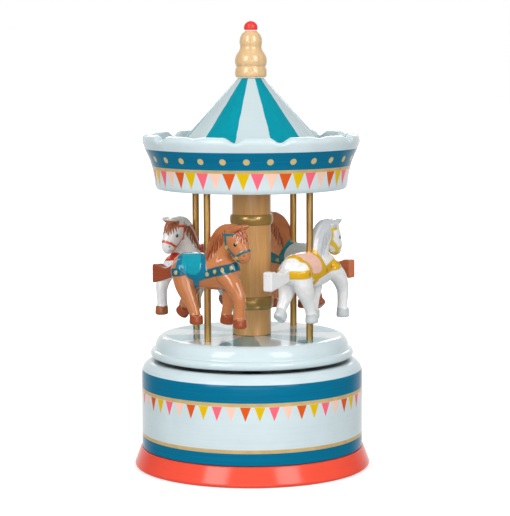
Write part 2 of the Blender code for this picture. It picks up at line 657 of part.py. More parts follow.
def make_bedplate(drum):
    """The cast bedplate, screwed up into the drum's ceiling."""
    bm = bmesh.new()
    size = Vector((PLATE_HIGH[0] - PLATE_LOW[0], PLATE_HIGH[1] - PLATE_LOW[1], PLATE_THICKNESS))
    middle = Vector(((PLATE_HIGH[0] + PLATE_LOW[0]) / 2, (PLATE_HIGH[1] + PLATE_LOW[1]) / 2,
                     (PLATE_TOP + PLATE_BOTTOM) / 2))
    place = Matrix.Translation(middle) @ Matrix.Diagonal((*size, 1))
    bmesh.ops.create_cube(bm, size=1, matrix=place)
    upright = [e for e in bm.edges if abs(e.verts[0].co.z - e.verts[1].co.z) > PLATE_THICKNESS / 2]
    bmesh.ops.bevel(bm, geom=upright, offset=PLATE_CORNER, segments=3, profile=0.5, affect="EDGES")
    plate = from_bmesh("bedplate", bm)
    shaft_hole = rod("shaft_hole", SHAFT_RADIUS + GAP, PLATE_BOTTOM - PAST, PLATE_TOP + PAST,
                     home=CUTTERS)
    cut(plate, shaft_hole)
    for i, at in enumerate(PLATE_SCREWS):
        hole = rod("plate_hole_%d" % (i + 1), WOOD_SCREW[0] + GAP, PLATE_BOTTOM - PAST,
                   CEILING_Z + PLATE_SCREW_DEPTH, at, 10, CUTTERS)
        cut(plate, hole)
        cut(drum, hole)
        length = CEILING_Z + PLATE_SCREW_DEPTH - GAP - UNDER_PLATE
        screw("movement_screw_%d" % (i + 1), at, UNDER_PLATE, length, WOOD_SCREW, STEEL)
    return finish(plate, ZINC)


def make_spring_drive(plate):
    """The spring housing on its pillars, the mainspring, the shaft and the crown gear."""
    rim = CROWN_FACE - 0.0020
    floor = rim - HOUSING_HEIGHT
    inner = HOUSING_RADIUS - HOUSING_WALL
    pivot = SHAFT_RADIUS / 2
    outline = [(HOUSING_RADIUS, rim), (HOUSING_RADIUS, floor), (pivot + GAP, floor),
               (pivot + GAP, floor + HOUSING_FLOOR), (inner, floor + HOUSING_FLOOR), (inner, rim)]
    housing = turned("spring_housing", outline, 24, closed=True)
    ear_low, ear_high = floor + 0.0002, floor + 0.0010
    reach = PILLAR_OFFSET + 0.0025
    join(housing, box("housing_ears_right", (-0.003, HOUSING_RADIUS - BITE, ear_low),
                      (0.003, reach, ear_high), CUTTERS),
         box("housing_ears_left", (-0.003, -reach, ear_low),
             (0.003, -HOUSING_RADIUS + BITE, ear_high), CUTTERS))
    for side, label in ((-1, "1"), (1, "2")):
        at = (0, side * PILLAR_OFFSET)
        hole = rod("pillar_hole_" + label, ARBOR_RADIUS + GAP, floor - PAST, PLATE_TOP + PAST,
                   at, 10, CUTTERS)
        cut(housing, hole)
        cut(plate, hole)
        outline = [(0, PLATE_TOP - 0.0002), (ARBOR_RADIUS, PLATE_TOP - 0.0002),
                   (ARBOR_RADIUS, UNDER_PLATE), (PILLAR_RADIUS, UNDER_PLATE), (PILLAR_RADIUS, ear_high + GAP),
                   (ARBOR_RADIUS, ear_high + GAP), (ARBOR_RADIUS, ear_low - GAP),
                   (0.0018, ear_low - GAP), (0.0014, ear_low - 0.0010), (0, ear_low - 0.0010)]
        pillar = turned("housing_pillar_" + label, outline, 12)
        pillar.location = (*at, 0)
        finish(pillar, STEEL)
    finish(housing, ZINC)

    start, end = SHAFT_RADIUS + 0.0008, inner - RUNNING
    steps = SPRING_TURNS * SPRING_POINTS
    def spiral(shift):
        points = []
        for i in range(steps + 1):
            radius = start + (end - start) * i / steps + shift
            angle = 2 * math.pi * i / SPRING_POINTS
            points.append((radius * math.cos(angle), radius * math.sin(angle)))
        return points
    strip = spiral(SPRING_STRIP / 2) + list(reversed(spiral(-SPRING_STRIP / 2)))
    spring = outline_curve("mainspring", [strip], HOUSING_HEIGHT - 0.0035)
    spring.location = (0, 0, (floor + HOUSING_FLOOR + rim) / 2)
    finish(spring, SPRING_STEEL)

    top = HUB_RECESS - 2 * GAP
    shaft_foot = floor + HOUSING_FLOOR + GAP
    outline = [(0, top), (SHAFT_RADIUS * 0.7, top), (SHAFT_RADIUS, top - 0.0006),
               (SHAFT_RADIUS, shaft_foot), (pivot, shaft_foot), (pivot, floor - 0.0004),
               (0, floor - 0.0004)]
    finish(turned("winding_shaft", outline, 16), STEEL, TURN_AXIS)

    tooth_tip = PITCH_Z - ADDENDUM
    bore = SHAFT_RADIUS + GAP
    outline = [(bore, CROWN_TOP), (CROWN_OUTER, CROWN_TOP), (CROWN_OUTER, CROWN_FACE),
               (0.0045, CROWN_FACE), (0.0045, tooth_tip), (bore, tooth_tip)]
    crown = turned("drive_gear", outline, CROWN_TEETH, closed=True)
    pitch = 2 * math.pi / CROWN_TEETH
    bm = bmesh.new()
    thick = 0.33 * pitch * CROWN_RADIUS
    for i in range(CROWN_TEETH):
        turn = Matrix.Rotation((i + 0.5) * pitch, 4, "Z")
        middle = Vector((CROWN_OUTER - CROWN_BAND / 2 - 0.0001, 0, (tooth_tip + CROWN_FACE) / 2 + 0.0001))
        size = (CROWN_BAND, thick, CROWN_FACE - tooth_tip + 0.0002, 1)
        place = turn @ Matrix.Translation(middle) @ Matrix.Diagonal(size)
        bmesh.ops.create_cube(bm, size=1, matrix=place)
    join(crown, from_bmesh("crown_teeth", bm, CUTTERS))
    finish(crown, BRASS, TURN_AXIS)


# Movement: cylinder and comb

def make_cylinder(plate):
    """The pinned cylinder on its arbor between two brackets, driven by its pinion."""
    bm = bmesh.new()
    bmesh.ops.create_cone(bm, cap_ends=True, segments=28, radius1=CYLINDER_RADIUS,
                          radius2=CYLINDER_RADIUS, depth=CYLINDER_LENGTH)
    middle = (CYLINDER_START + CYLINDER_END) / 2
    bmesh.ops.translate(bm, verts=bm.verts, vec=(0, 0, middle))
    cylinder = from_bmesh("cylinder", bm)
    pins = bmesh.new()
    spacing = CYLINDER_LENGTH / COMB_TEETH
    for i in range(COMB_TEETH):
        for k in range(PINS_EACH):
            turn = Matrix.Rotation(math.radians(47 * i + 118 * k + 11 * i * k), 4, "Z")
            along = CYLINDER_START - spacing * (i + 0.5)
            out = CYLINDER_RADIUS + PIN_HEIGHT / 2 - 0.0001
            place = turn @ Matrix.Translation((out, 0, along)) @ Matrix.Diagonal(
                (PIN_HEIGHT + 0.0002, PIN_SIZE, PIN_SIZE, 1))
            bmesh.ops.create_cube(pins, size=1, matrix=place)
    join(cylinder, from_bmesh("cylinder_pins", pins, CUTTERS))
    bore = rod("cylinder_bore", BORE, CYLINDER_END - PAST, CYLINDER_START + PAST, sides=12,
               home=CUTTERS)
    bore.parent = CYLINDER_AXIS
    bpy.data.objects["cylinder_pins"].parent = CYLINDER_AXIS
    cut(cylinder, bore)
    finish(cylinder, BRASS, CYLINDER_AXIS)

    inner = CYLINDER_START + GAP
    outer = CYLINDER_END - GAP
    outline = [(0, inner + BRACKET + 0.0025), (ARBOR_RADIUS, inner + BRACKET + 0.0025),
               (ARBOR_RADIUS, outer - BRACKET - 0.0006), (0, outer - BRACKET - 0.0006)]
    finish(turned("cylinder_arbor", outline, 12), STEEL, CYLINDER_AXIS)
    pinion = gear("cylinder_pinion", PINION_TEETH, PINION_RADIUS - DEDENDUM + 0.0001,
                  PINION_RADIUS + ADDENDUM, PINION_WIDTH, BORE, root_share=0.46, tip_share=0.26)
    pinion.location = (0, 0, -CROWN_RADIUS)
    finish(pinion, BRASS, CYLINDER_AXIS)

    foot_under = UNDER_PLATE - FOOT_THICKNESS
    for label, low in (("inner", inner), ("outer", outer - BRACKET)):
        foot_end = low - FOOT_LENGTH if label == "inner" else low + BRACKET + FOOT_LENGTH
        foot_x = sorted((foot_end, low + BRACKET if label == "inner" else low))
        upright = box("cylinder_bracket_" + label,
                      (low, -BRACKET_HALF_WIDTH, ARBOR_Z - BRACKET_HALF_WIDTH),
                      (low + BRACKET, BRACKET_FOOT[0], UNDER_PLATE))
        foot = box("bracket_foot_" + label, (foot_x[0], BRACKET_FOOT[0] - BITE, foot_under),
                   (foot_x[1], BRACKET_FOOT[1], UNDER_PLATE), CUTTERS)
        arbor_hole = rod("bracket_bore_" + label, ARBOR_RADIUS + 0.0001, low - PAST,
                         low + BRACKET + PAST, sides=12, home=CUTTERS)
        arbor_hole.parent = CYLINDER_AXIS
        at = ((foot_x[0] + foot_x[1]) / 2, (BRACKET_FOOT[0] + BRACKET_FOOT[1]) / 2)
        hole = rod("bracket_hole_" + label, SMALL_SCREW[0] + GAP, foot_under - PAST,
                   PLATE_TOP + PAST, at, 10, CUTTERS)
        join(upright, foot)
        cut(upright, arbor_hole, hole)
        cut(plate, hole)
        screw("bracket_screw_" + label, at, foot_under - GAP, PLATE_TOP - GAP - foot_under,
              SMALL_SCREW, STEEL)
        finish(upright, STEEL)


def make_comb(plate):
    """The steel comb on its block; each tooth's tip stands just clear of the pins."""
    spacing = CYLINDER_LENGTH / COMB_TEETH
    tooth = spacing * 0.62
    points = []
    for i in range(COMB_TEETH):
        middle = CYLINDER_START - spacing * (i + 0.5)
        points += [(middle + tooth / 2, -COMB_HEEL), (middle + tooth / 3, -TIP_REACH),
                   (middle - tooth / 3, -TIP_REACH), (middle - tooth / 2, -COMB_HEEL)]
    back = -(COMB_HEEL + COMB_BASE)
    points += [(CYLINDER_END, -COMB_HEEL - 0.0002), (CYLINDER_END, back), (CYLINDER_START, back),
               (CYLINDER_START, -COMB_HEEL - 0.0002)]
    comb = outline_curve("comb", [points], COMB_THICKNESS)
    comb.location = (0, 0, ARBOR_Z)
    bpy.context.view_layer.update()
    comb = made_mesh(comb)
    block_low = ARBOR_Z + COMB_THICKNESS / 2 + GAP
    block = box("comb_block", (CYLINDER_END, back, block_low),
                (CYLINDER_START, -COMB_HEEL - 0.0004, UNDER_PLATE))
    seat = ARBOR_Z - COMB_THICKNESS / 2 - GAP
    for i, x in enumerate(COMB_SCREWS):
        hole = rod("comb_hole_%d" % (i + 1), SMALL_SCREW[0] + GAP, seat - PAST, PLATE_TOP + PAST,
                   (x, COMB_SCREW_Y), 10, CUTTERS)
        for piece in (comb, block, plate):
            cut(piece, hole)
        screw("comb_screw_%d" % (i + 1), (x, COMB_SCREW_Y), seat, PLATE_TOP - GAP - seat,
              SMALL_SCREW, STEEL)
    finish(comb, SPRING_STEEL)
    finish(block, ZINC)


# Movement: governor train

FRAME_BACK = -0.0082
FRAME_FRONT = FLY_Y + 0.0030
SHELF_Z = ARBOR_Z - 0.0158
SHELF_TOP = SHELF_Z + 0.0012
ARM_UNDER = UNDER_PLATE - 0.0016
WORM_LENGTH = 0.0050


def make_governor_frame(plate):
    """The folded frame that holds the train arbor, the governor arbor and the fly."""
    foot_under = UNDER_PLATE - FOOT_THICKNESS
    cheek_top = UNDER_PLATE - 0.0004
    frame = box("governor_frame", (CHEEK_INNER, FRAME_BACK, SHELF_Z),
                (CHEEK_OUTER + CHEEK, FRAME_BACK + 0.0010, UNDER_PLATE))
    join(frame,
         box("frame_cheek_inner", (CHEEK_INNER, FRAME_BACK + BITE, SHELF_Z),
             (CHEEK_INNER + CHEEK, FRAME_FRONT, cheek_top), CUTTERS),
         box("frame_cheek_outer", (CHEEK_OUTER, FRAME_BACK + BITE, SHELF_Z),
             (CHEEK_OUTER + CHEEK, FRAME_FRONT, cheek_top), CUTTERS),
         box("frame_shelf", (CHEEK_INNER + BITE, FRAME_BACK + BITE, SHELF_Z + 0.0001),
             (CHEEK_OUTER + BITE, FRAME_FRONT - 0.0002, SHELF_TOP), CUTTERS),
         box("frame_arm", (FLY_X - 0.0025, FLY_Y - 0.0012, ARM_UNDER),
             (CHEEK_OUTER + BITE, FRAME_FRONT - 0.0002, ARM_UNDER + 0.0010), CUTTERS),
         box("frame_foot", (FRAME_SCREW[0] - 0.0030, FRAME_SCREW[1] - 0.0030, foot_under),
             (FRAME_SCREW[0] + 0.0030, FRAME_BACK + BITE, UNDER_PLATE), CUTTERS))
    reach = CHEEK_OUTER + CHEEK + PAST
    for name, axis in (("frame_train_bore", TRAIN_AXIS), ("frame_governor_bore", GOVERNOR_AXIS)):
        bore = rod(name, ARBOR_RADIUS + 0.0001, CHEEK_INNER - PAST, reach, sides=12, home=CUTTERS)
        bore.parent = axis
        cut(frame, bore)
    pivot = rod("frame_fly_bore", 0.0005, SHELF_Z - PAST, UNDER_PLATE, (FLY_X, FLY_Y), 10, CUTTERS)
    hole = rod("frame_hole", SMALL_SCREW[0] + GAP, foot_under - PAST, PLATE_TOP + PAST,
               FRAME_SCREW, 10, CUTTERS)
    cut(frame, pivot, hole)
    cut(plate, hole)
    screw("governor_screw", FRAME_SCREW, foot_under - GAP, PLATE_TOP - GAP - foot_under,
          SMALL_SCREW, STEEL)
    finish(frame, STEEL)


def make_train():
    """The train arbor with its crown pinion and wheel, and the governor arbor with its own."""
    inner_end = CROWN_RADIUS - PINION_WIDTH / 2 - 0.0003
    outer_end = CHEEK_OUTER + CHEEK + 0.0004
    outline = [(0, outer_end), (ARBOR_RADIUS, outer_end), (ARBOR_RADIUS, inner_end), (0, inner_end)]
    finish(turned("train_arbor", outline, 12), STEEL, TRAIN_AXIS)
    pinion = gear("train_pinion", PINION_TEETH, PINION_RADIUS - DEDENDUM + 0.0001,
                  PINION_RADIUS + ADDENDUM, PINION_WIDTH, BORE, root_share=0.46, tip_share=0.26)
    pinion.location = (0, 0, CROWN_RADIUS)
    finish(pinion, BRASS, TRAIN_AXIS)

    towards = math.atan2(GOVERNOR_Y, GOVERNOR_DROP)
    pitch_radius = SPUR_MODULE * TRAIN_TEETH / 2
    wheel = gear("train_wheel", TRAIN_TEETH, pitch_radius - 0.0007, pitch_radius + 0.0004, 0.0010,
                 BORE, towards, 0.50, 0.24)
    wheel.location = (0, 0, TRAIN_X)
    finish(wheel, BRASS, TRAIN_AXIS)

    start = CHEEK_INNER - 0.0004
    outline = [(0, outer_end), (ARBOR_RADIUS, outer_end), (ARBOR_RADIUS, start), (0, start)]
    finish(turned("governor_arbor", outline, 12), STEEL, GOVERNOR_AXIS)
    pitch_radius = SPUR_MODULE * GOVERNOR_PINION_TEETH / 2
    pinion = gear("governor_pinion", GOVERNOR_PINION_TEETH, pitch_radius - 0.0006,
                  pitch_radius + 0.0004, 0.0014, BORE,
                  towards + math.pi + math.pi / GOVERNOR_PINION_TEETH, 0.46, 0.24)
    pinion.location = (0, 0, TRAIN_X)
    finish(pinion, BRASS, GOVERNOR_AXIS)
    wheel = gear("governor_wheel", WORM_WHEEL_TEETH, WORM_WHEEL_RADIUS - 0.0007,
                 WORM_WHEEL_RADIUS + 0.0004, 0.0008, BORE,
                 math.pi / 2 + math.pi / WORM_WHEEL_TEETH, 0.46, 0.22)
    wheel.location = (0, 0, FLY_X)
    finish(wheel, NYLON, GOVERNOR_AXIS)


def make_fly():
    """The fly: a two-start worm on a fine shaft, with a fan that brakes it."""
    lead = WORM_STARTS * 2 * math.pi * WORM_WHEEL_RADIUS / WORM_WHEEL_TEETH
    core, tip, pivot = 0.0008, WORM_RADIUS + 0.0004, 0.0004
    count = 12
    lobe = [(0, tip), (20, tip), (38, core), (90, core), (142, core), (160, tip)]

    def ring(z, radius=None, turn=0.0):
        points = []
        for i in range(count):
            degrees, lobed = lobe[i % 6]
            angle = math.radians(degrees + 180 * (i // 6) - 10) + turn
            size = lobed if radius is None else radius
            points.append((size * math.cos(angle), size * math.sin(angle), z))
        return points

    worm_low = GOVERNOR_Z - WORM_LENGTH / 2
    layers = 22
    low, high = SHELF_Z + 0.0002, UNDER_PLATE - 0.0008
    start_turn = math.pi / 2 - math.pi * WORM_LENGTH / lead
    rings = [ring(low, pivot, start_turn), ring(SHELF_TOP + GAP, pivot, start_turn),
             ring(SHELF_TOP + GAP + 0.0001, core, start_turn), ring(worm_low - 0.0001, core, start_turn)]
    for i in range(layers + 1):
        share = i / layers
        rings.append(ring(worm_low + WORM_LENGTH * share, None,
                          start_turn + 2 * math.pi * WORM_LENGTH * share / lead))
    last_turn = start_turn + 2 * math.pi * WORM_LENGTH / lead
    rings += [ring(worm_low + WORM_LENGTH + 0.0001, core, last_turn),
              ring(ARM_UNDER - GAP - 0.0001, core, last_turn),
              ring(ARM_UNDER - GAP, pivot, last_turn), ring(high, pivot, last_turn)]
    finish(loft("fly_shaft", rings), STEEL, FLY_AXIS)

    fan_low = SHELF_Z + 0.0030
    bore = core + GAP
    outline = [(bore, fan_low + FLY_HEIGHT), (bore + 0.0007, fan_low + FLY_HEIGHT),
               (bore + 0.0007, fan_low), (bore, fan_low)]
    fan = turned("fly_fan", outline, 12, closed=True)
    for side, label in ((-1, "left"), (1, "right")):
        ends = sorted((side * (bore + 0.0003), side * FLY_RADIUS))
        vane = box("fly_vane_" + label, (ends[0], -0.0002, fan_low + 0.0003),
                   (ends[1], 0.0002, fan_low + FLY_HEIGHT - 0.0003), CUTTERS)
        vane.parent = FLY_AXIS
        join(fan, vane)
    finish(fan, BRASS, FLY_AXIS)


DRUM = make_case()
make_turntable()
make_column()
make_canopy()
make_roof()
make_riders()
PLATE = make_bedplate(DRUM)
make_spring_drive(PLATE)
make_cylinder(PLATE)
make_comb(PLATE)
make_governor_frame(PLATE)
make_train()
make_fly()
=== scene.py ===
"""A painted wooden wind-up carousel, dressed piece by piece from the base up."""

import json
import math

import bmesh
import bpy
import numpy as np
from mathutils import Matrix, Vector


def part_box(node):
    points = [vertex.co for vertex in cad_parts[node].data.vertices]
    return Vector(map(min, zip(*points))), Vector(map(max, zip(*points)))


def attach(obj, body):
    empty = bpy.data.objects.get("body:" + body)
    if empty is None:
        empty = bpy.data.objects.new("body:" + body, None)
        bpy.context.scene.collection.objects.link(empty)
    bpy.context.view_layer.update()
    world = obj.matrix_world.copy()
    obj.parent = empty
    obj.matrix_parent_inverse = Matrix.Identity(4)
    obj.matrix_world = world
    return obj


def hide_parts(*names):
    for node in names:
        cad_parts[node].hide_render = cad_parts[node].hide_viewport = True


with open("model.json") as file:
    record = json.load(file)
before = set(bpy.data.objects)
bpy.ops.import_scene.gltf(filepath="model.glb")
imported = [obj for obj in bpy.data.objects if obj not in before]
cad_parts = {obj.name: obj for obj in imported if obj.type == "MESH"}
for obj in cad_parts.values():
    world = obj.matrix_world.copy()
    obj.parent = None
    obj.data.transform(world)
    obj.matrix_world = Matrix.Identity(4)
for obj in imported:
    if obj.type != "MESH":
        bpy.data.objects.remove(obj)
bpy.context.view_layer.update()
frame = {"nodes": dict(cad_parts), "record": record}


# The studio: a white sweep and two tall softboxes, one on each side of the camera, which give
# round pieces their pair of upright highlights. A low fill and a box at the back open the
# shadows, and the room that gloss mirrors is dim except behind the toy.

def linear(red, green, blue):
    """A display colour, 0 to 255, as the linear colour that shaders take."""
    shares = [channel / 255 for channel in (red, green, blue)]
    return tuple(c / 12.92 if c <= 0.04045 else ((c + 0.055) / 1.055) ** 2.4 for c in shares)


def spread(tree, low, high, to_low, to_high):
    """A node that maps one range of values onto another and holds the ends."""
    node = tree.nodes.new("ShaderNodeMapRange")
    for key, value in (("From Min", low), ("From Max", high), ("To Min", to_low), ("To Max", to_high)):
        node.inputs[key].default_value = value
    return node


def studio():
    """The camera, lights, world and sweep."""
    scene = bpy.context.scene
    scene.view_settings.view_transform = "Standard"
    camera = bpy.data.cameras.new("camera")
    camera.lens = 134.2
    camera.sensor_width = 36.0
    camera.clip_start = 0.05
    eye = bpy.data.objects.new("camera", camera)
    eye.location = (0.0016, -0.8995, 0.195)
    tilt = Matrix.Rotation(math.radians(83.844), 3, "X") @ Matrix.Rotation(math.radians(-0.2), 3, "Z")
    eye.rotation_euler = tilt.to_euler()
    scene.collection.objects.link(eye)
    scene.camera = eye

    world = bpy.data.worlds.new("white_room")
    world.use_nodes = True
    room = world.node_tree
    white_paper = room.nodes["Background"]
    dim_room = room.nodes.new("ShaderNodeBackground")
    dark_room = room.nodes.new("ShaderNodeBackground")
    for background in (white_paper, dim_room, dark_room):
        background.inputs["Color"].default_value = (1.0, 1.0, 1.0, 1.0)
    dim_room.inputs["Strength"].default_value = 0.50
    way = room.nodes.new("ShaderNodeSeparateXYZ")
    room.links.new(room.nodes.new("ShaderNodeTexCoord").outputs["Generated"], way.inputs[0])
    backdrop = spread(room, 0.55, 0.97, 0.14, 0.95)
    room.links.new(way.outputs["Y"], backdrop.inputs["Value"])
    room.links.new(backdrop.outputs[0], dark_room.inputs["Strength"])
    seen = room.nodes.new("ShaderNodeLightPath")
    last = dim_room.outputs[0]
    for ray, background in (("Is Glossy Ray", dark_room), ("Is Camera Ray", white_paper)):
        either = room.nodes.new("ShaderNodeMixShader")
        room.links.new(seen.outputs[ray], either.inputs[0])
        room.links.new(last, either.inputs[1])
        room.links.new(background.outputs[0], either.inputs[2])
        last = either.outputs[0]
    room.links.new(last, room.nodes["World Output"].inputs["Surface"])
    scene.world = world

    reach, pivot, target = 1.25, 0.08, 0.10
    lights = (("left_softbox", -90 - 37, 27, (0.48, 0.86), 6.6),
              ("right_softbox", -90 + 37, 27, (0.48, 0.86), 6.0),
              ("front_fill", -90, 4, (1.0, 0.30), 1.3),
              ("back_softbox", 90, 28, (0.80, 0.60), 3.8))
    for name, azimuth, height, size, energy in lights:
        box = bpy.data.lights.new(name, "AREA")
        box.shape = "RECTANGLE"
        box.size, box.size_y = size
        box.energy = energy
        lamp = bpy.data.objects.new(name, box)
        turn, rise = math.radians(azimuth), math.radians(height)
        lamp.location = (reach * math.cos(turn) * math.cos(rise),
                         reach * math.sin(turn) * math.cos(rise), reach * math.sin(rise) + pivot)
        aim = Vector((0, 0, target)) - Vector(lamp.location)
        lamp.rotation_euler = aim.to_track_quat("-Z", "Y").to_euler()
        scene.collection.objects.link(lamp)

    bm = bmesh.new()
    bmesh.ops.create_circle(bm, cap_ends=True, radius=6.0, segments=96)
    mesh = bpy.data.meshes.new("pale_floor")
    bm.to_mesh(mesh)
    bm.free()
    floor = bpy.data.objects.new("pale_floor", mesh)
    floor.visible_diffuse = False
    floor.visible_glossy = False
    scene.collection.objects.link(floor)
    white = bpy.data.materials.new("floor_white")
    white.use_nodes = True
    shader = white.node_tree.nodes["Principled BSDF"]
    shader.inputs["Base Color"].default_value = (0.82, 0.82, 0.82, 1.0)
    shader.inputs["Roughness"].default_value = 1.0
    shader.inputs["Specular IOR Level"].default_value = 0.0
    shader.inputs["Emission Color"].default_value = (1.0, 1.0, 1.0, 1.0)
    place = white.node_tree.nodes.new("ShaderNodeTexCoord").outputs["Object"]
    away = white.node_tree.nodes.new("ShaderNodeVectorMath")
    away.operation = "LENGTH"
    glow = spread(white.node_tree, 0.15, 1.2, 0.45, 0.95)
    white.node_tree.links.new(place, away.inputs[0])
    white.node_tree.links.new(away.outputs["Value"], glow.inputs["Value"])
    white.node_tree.links.new(glow.outputs[0], shader.inputs["Emission Strength"])
    mesh.materials.append(white)


studio()


# Base ring: turned beech under a coral-red gloss paint, with a softened foot. It is glued round
# the drum's spigot and carries the whole toy.

class Finish:
    """A Principled finish with short ways to wire patterns into it."""

    def __init__(self, name, roughness=0.3, metallic=0.0, coat=0.0):
        self.material = bpy.data.materials.new(name)
        self.material.use_nodes = True
        self.tree = self.material.node_tree
        self.shader = self.tree.nodes["Principled BSDF"]
        self.shader.inputs["Roughness"].default_value = roughness
        self.shader.inputs["Metallic"].default_value = metallic
        self.shader.inputs["Coat Weight"].default_value = coat
        self.shader.inputs["Coat Roughness"].default_value = 0.04
        self.place = self.add("ShaderNodeTexCoord").outputs["Object"]
        self.x, self.y, self.z = self.add("ShaderNodeSeparateXYZ", {0: self.place}).outputs

    def add(self, kind, inputs=None, **settings):
        """A node with its settings made and its inputs set or linked."""
        node = self.tree.nodes.new(kind)
        for key, value in settings.items():
            setattr(node, key, value)
        for key, value in (inputs or {}).items():
            if isinstance(value, bpy.types.NodeSocket):
                self.tree.links.new(value, node.inputs[key])
            else:
                node.inputs[key].default_value = value
        return node

    def math(self, operation, a, b=0.0):
        """One arithmetic step."""
        return self.add("ShaderNodeMath", {0: a, 1: b}, operation=operation).outputs[0]

    def ramp(self, value, low, high, to_low=0.0, to_high=1.0):
        """A value spread from one range to another, held at its ends."""
        node = self.add("ShaderNodeMapRange", {"Value": value, "From Min": low, "From Max": high,
                                               "To Min": to_low, "To Max": to_high})
        return node.outputs["Result"]

    def above(self, value, edge, soft):
        """1 above an edge and 0 below it."""
        return self.ramp(value, edge - soft, edge + soft)

    def between(self, value, low, high, soft):
        """1 between two edges."""
        return self.math("MULTIPLY", self.above(value, low, soft),
                         self.math("SUBTRACT", 1.0, self.above(value, high, soft)))

    def mix(self, share, first, second):
        """Two colours mixed."""
        first, second = [(*c, 1.0) if isinstance(c, tuple) and len(c) == 3 else c
                         for c in (first, second)]
        node = self.add("ShaderNodeMix", {0: share, 6: first, 7: second}, data_type="RGBA")
        return node.outputs[2]

    def noise(self, stretch, detail=3.0, roughness=0.5, place=None):
        """Noise with its own number of features a metre along each axis."""
        spread = self.add("ShaderNodeVectorMath", {0: place or self.place, 1: stretch},
                          operation="MULTIPLY").outputs[0]
        node = self.add("ShaderNodeTexNoise", {"Vector": spread, "Scale": 1.0, "Detail": detail,
                                               "Roughness": roughness})
        return node.outputs[0]

    def shade(self, colour, pattern, depth):
        """A colour made a little darker and lighter by a pattern that runs from 0 to 1."""
        scale = self.ramp(pattern, 0.25, 0.75, 1.0 - depth, 1.0 + depth)
        node = self.add("ShaderNodeVectorMath", {0: colour, "Scale": scale}, operation="SCALE")
        return node.outputs[0]

    def wear(self, *heights, distance=0.00003):
        """Bump from patterns, each with its strength."""
        normal = None
        for pattern, strength in heights:
            inputs = {"Height": pattern, "Strength": strength, "Distance": distance}
            if normal:
                inputs["Normal"] = normal
            normal = self.add("ShaderNodeBump", inputs).outputs[0]
        self.tree.links.new(normal, self.shader.inputs["Normal"])
        self.tree.links.new(normal, self.shader.inputs["Coat Normal"])

    def feed(self, **sockets):
        """Links patterns to the shader's sockets by name."""
        for name, value in sockets.items():
            self.tree.links.new(value, self.shader.inputs[name.replace("_", " ").title()])
        return self.material


def gloss_paint(name, colour, roughness=0.16, depth=0.05, specular=0.45):
    """Sprayed gloss over turned wood: faint turning lines, faint clouding, soft orange peel."""
    paint = Finish(name, roughness)
    paint.shader.inputs["Specular IOR Level"].default_value = specular
    rings = paint.noise((30, 30, 2600), 2.0)
    cloud = paint.noise((60, 60, 60), 3.0)
    peel = paint.noise((900, 900, 900), 2.0)
    body = paint.shade(paint.shade(colour, cloud, depth), rings, depth * 0.5)
    paint.wear((rings, 0.25), (peel, 0.12))
    return paint, body


def settle(name, bm, material, body, slot, *nodes, sharp=40):
    """Makes a bmesh the finished piece that stands for its CAD nodes."""
    mesh = bpy.data.meshes.new(name)
    bm.to_mesh(mesh)
    bm.free()
    mesh.shade_smooth()
    mesh.set_sharp_from_angle(angle=math.radians(sharp))
    mesh.materials.append(material)
    piece = bpy.data.objects.new(name, mesh)
    bpy.context.scene.collection.objects.link(piece)
    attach(piece, body)
    if nodes:
        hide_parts(*nodes)


def rounded(points, closed=False):
    """An outline of (radius, height, fillet) corners, in millimetres, with its corners rounded."""
    outline, count = [], len(points)
    for i, (r, z, fillet) in enumerate(points):
        corner = Vector((r, z))
        if not fillet or (not closed and i in (0, count - 1)):
            outline.append(corner)
            continue
        before = Vector(points[i - 1][:2]) - corner
        after = Vector(points[(i + 1) % count][:2]) - corner
        first = corner + before.normalized() * min(fillet, before.length * 0.49)
        last = corner + after.normalized() * min(fillet, after.length * 0.49)
        for k in range(7):
            t = k / 6
            outline.append(first * (1 - t) ** 2 + corner * 2 * t * (1 - t) + last * t * t)
    return [(p.x * 0.001, p.y * 0.001) for p in outline]


def lathe(outline, steps=192, closed=False):
    """Spins an outline of (radius, height) points, in metres, about the turntable's axis."""
    bm = bmesh.new()
    line = [bm.verts.new((r, 0, z)) for r, z in outline]
    edges = [bm.edges.new(pair) for pair in zip(line, line[1:])]
    if closed:
        edges.append(bm.edges.new((line[-1], line[0])))
    bmesh.ops.spin(bm, geom=line + edges, cent=(0, 0, 0), axis=(0, 0, 1), angle=2 * math.pi,
                   steps=steps, use_merge=True)
    bmesh.ops.remove_doubles(bm, verts=bm.verts, dist=0.000002)
    bmesh.ops.recalc_face_normals(bm, faces=bm.faces)
    return bm


def base_ring():
    """The red foot ring."""
    outline = rounded([(48.0, 0, 0.3), (54.6, 0, 1.4), (55.7, 1.1, 1.0), (52.6, 9.25, 0.5),
                       (51.6, 9.25, 0.2), (48.0, 9.0, 0.3)], closed=True)
    paint, colour = gloss_paint("coral_gloss", linear(250, 84, 62))
    material = paint.feed(base_color=colour)
    settle("red_foot_ring", lathe(outline, closed=True), material, "base", "red_paint", "base_ring")


base_ring()


# Drum: a turned beech drum sprayed pale blue. Two teal bands edged in gold are painted on the
# lathe, and the string of paper-flag bunting is printed below the upper band.

PALE_BLUE = linear(211, 227, 231)
TEAL = linear(0, 113, 149)
BRIGHT_TEAL = linear(0, 158, 176)
GOLD_LINE = linear(206, 176, 118)
FLAG_COLOURS = (linear(224, 92, 30), linear(230, 190, 0), linear(255, 108, 128), linear(252, 206, 186))
BRUSH_EDGE = 0.00006


def round_count(paint, count, centre):
    """How many of count equal parts of a turn lie before a point. The fraction is a half at
    the azimuth centre, in degrees."""
    angle = paint.math("ARCTAN2", paint.y, paint.x)
    turn = paint.math("ADD", paint.math("DIVIDE", angle, 2 * math.pi), 1.0)
    return paint.math("ADD", paint.math("MULTIPLY", turn, count), 0.5 - count * centre / 360)


def hypotenuse(paint, a, b):
    """The distance that a and b make at right angles."""
    return paint.math("SQRT", paint.math("ADD", paint.math("POWER", a, 2), paint.math("POWER", b, 2)))


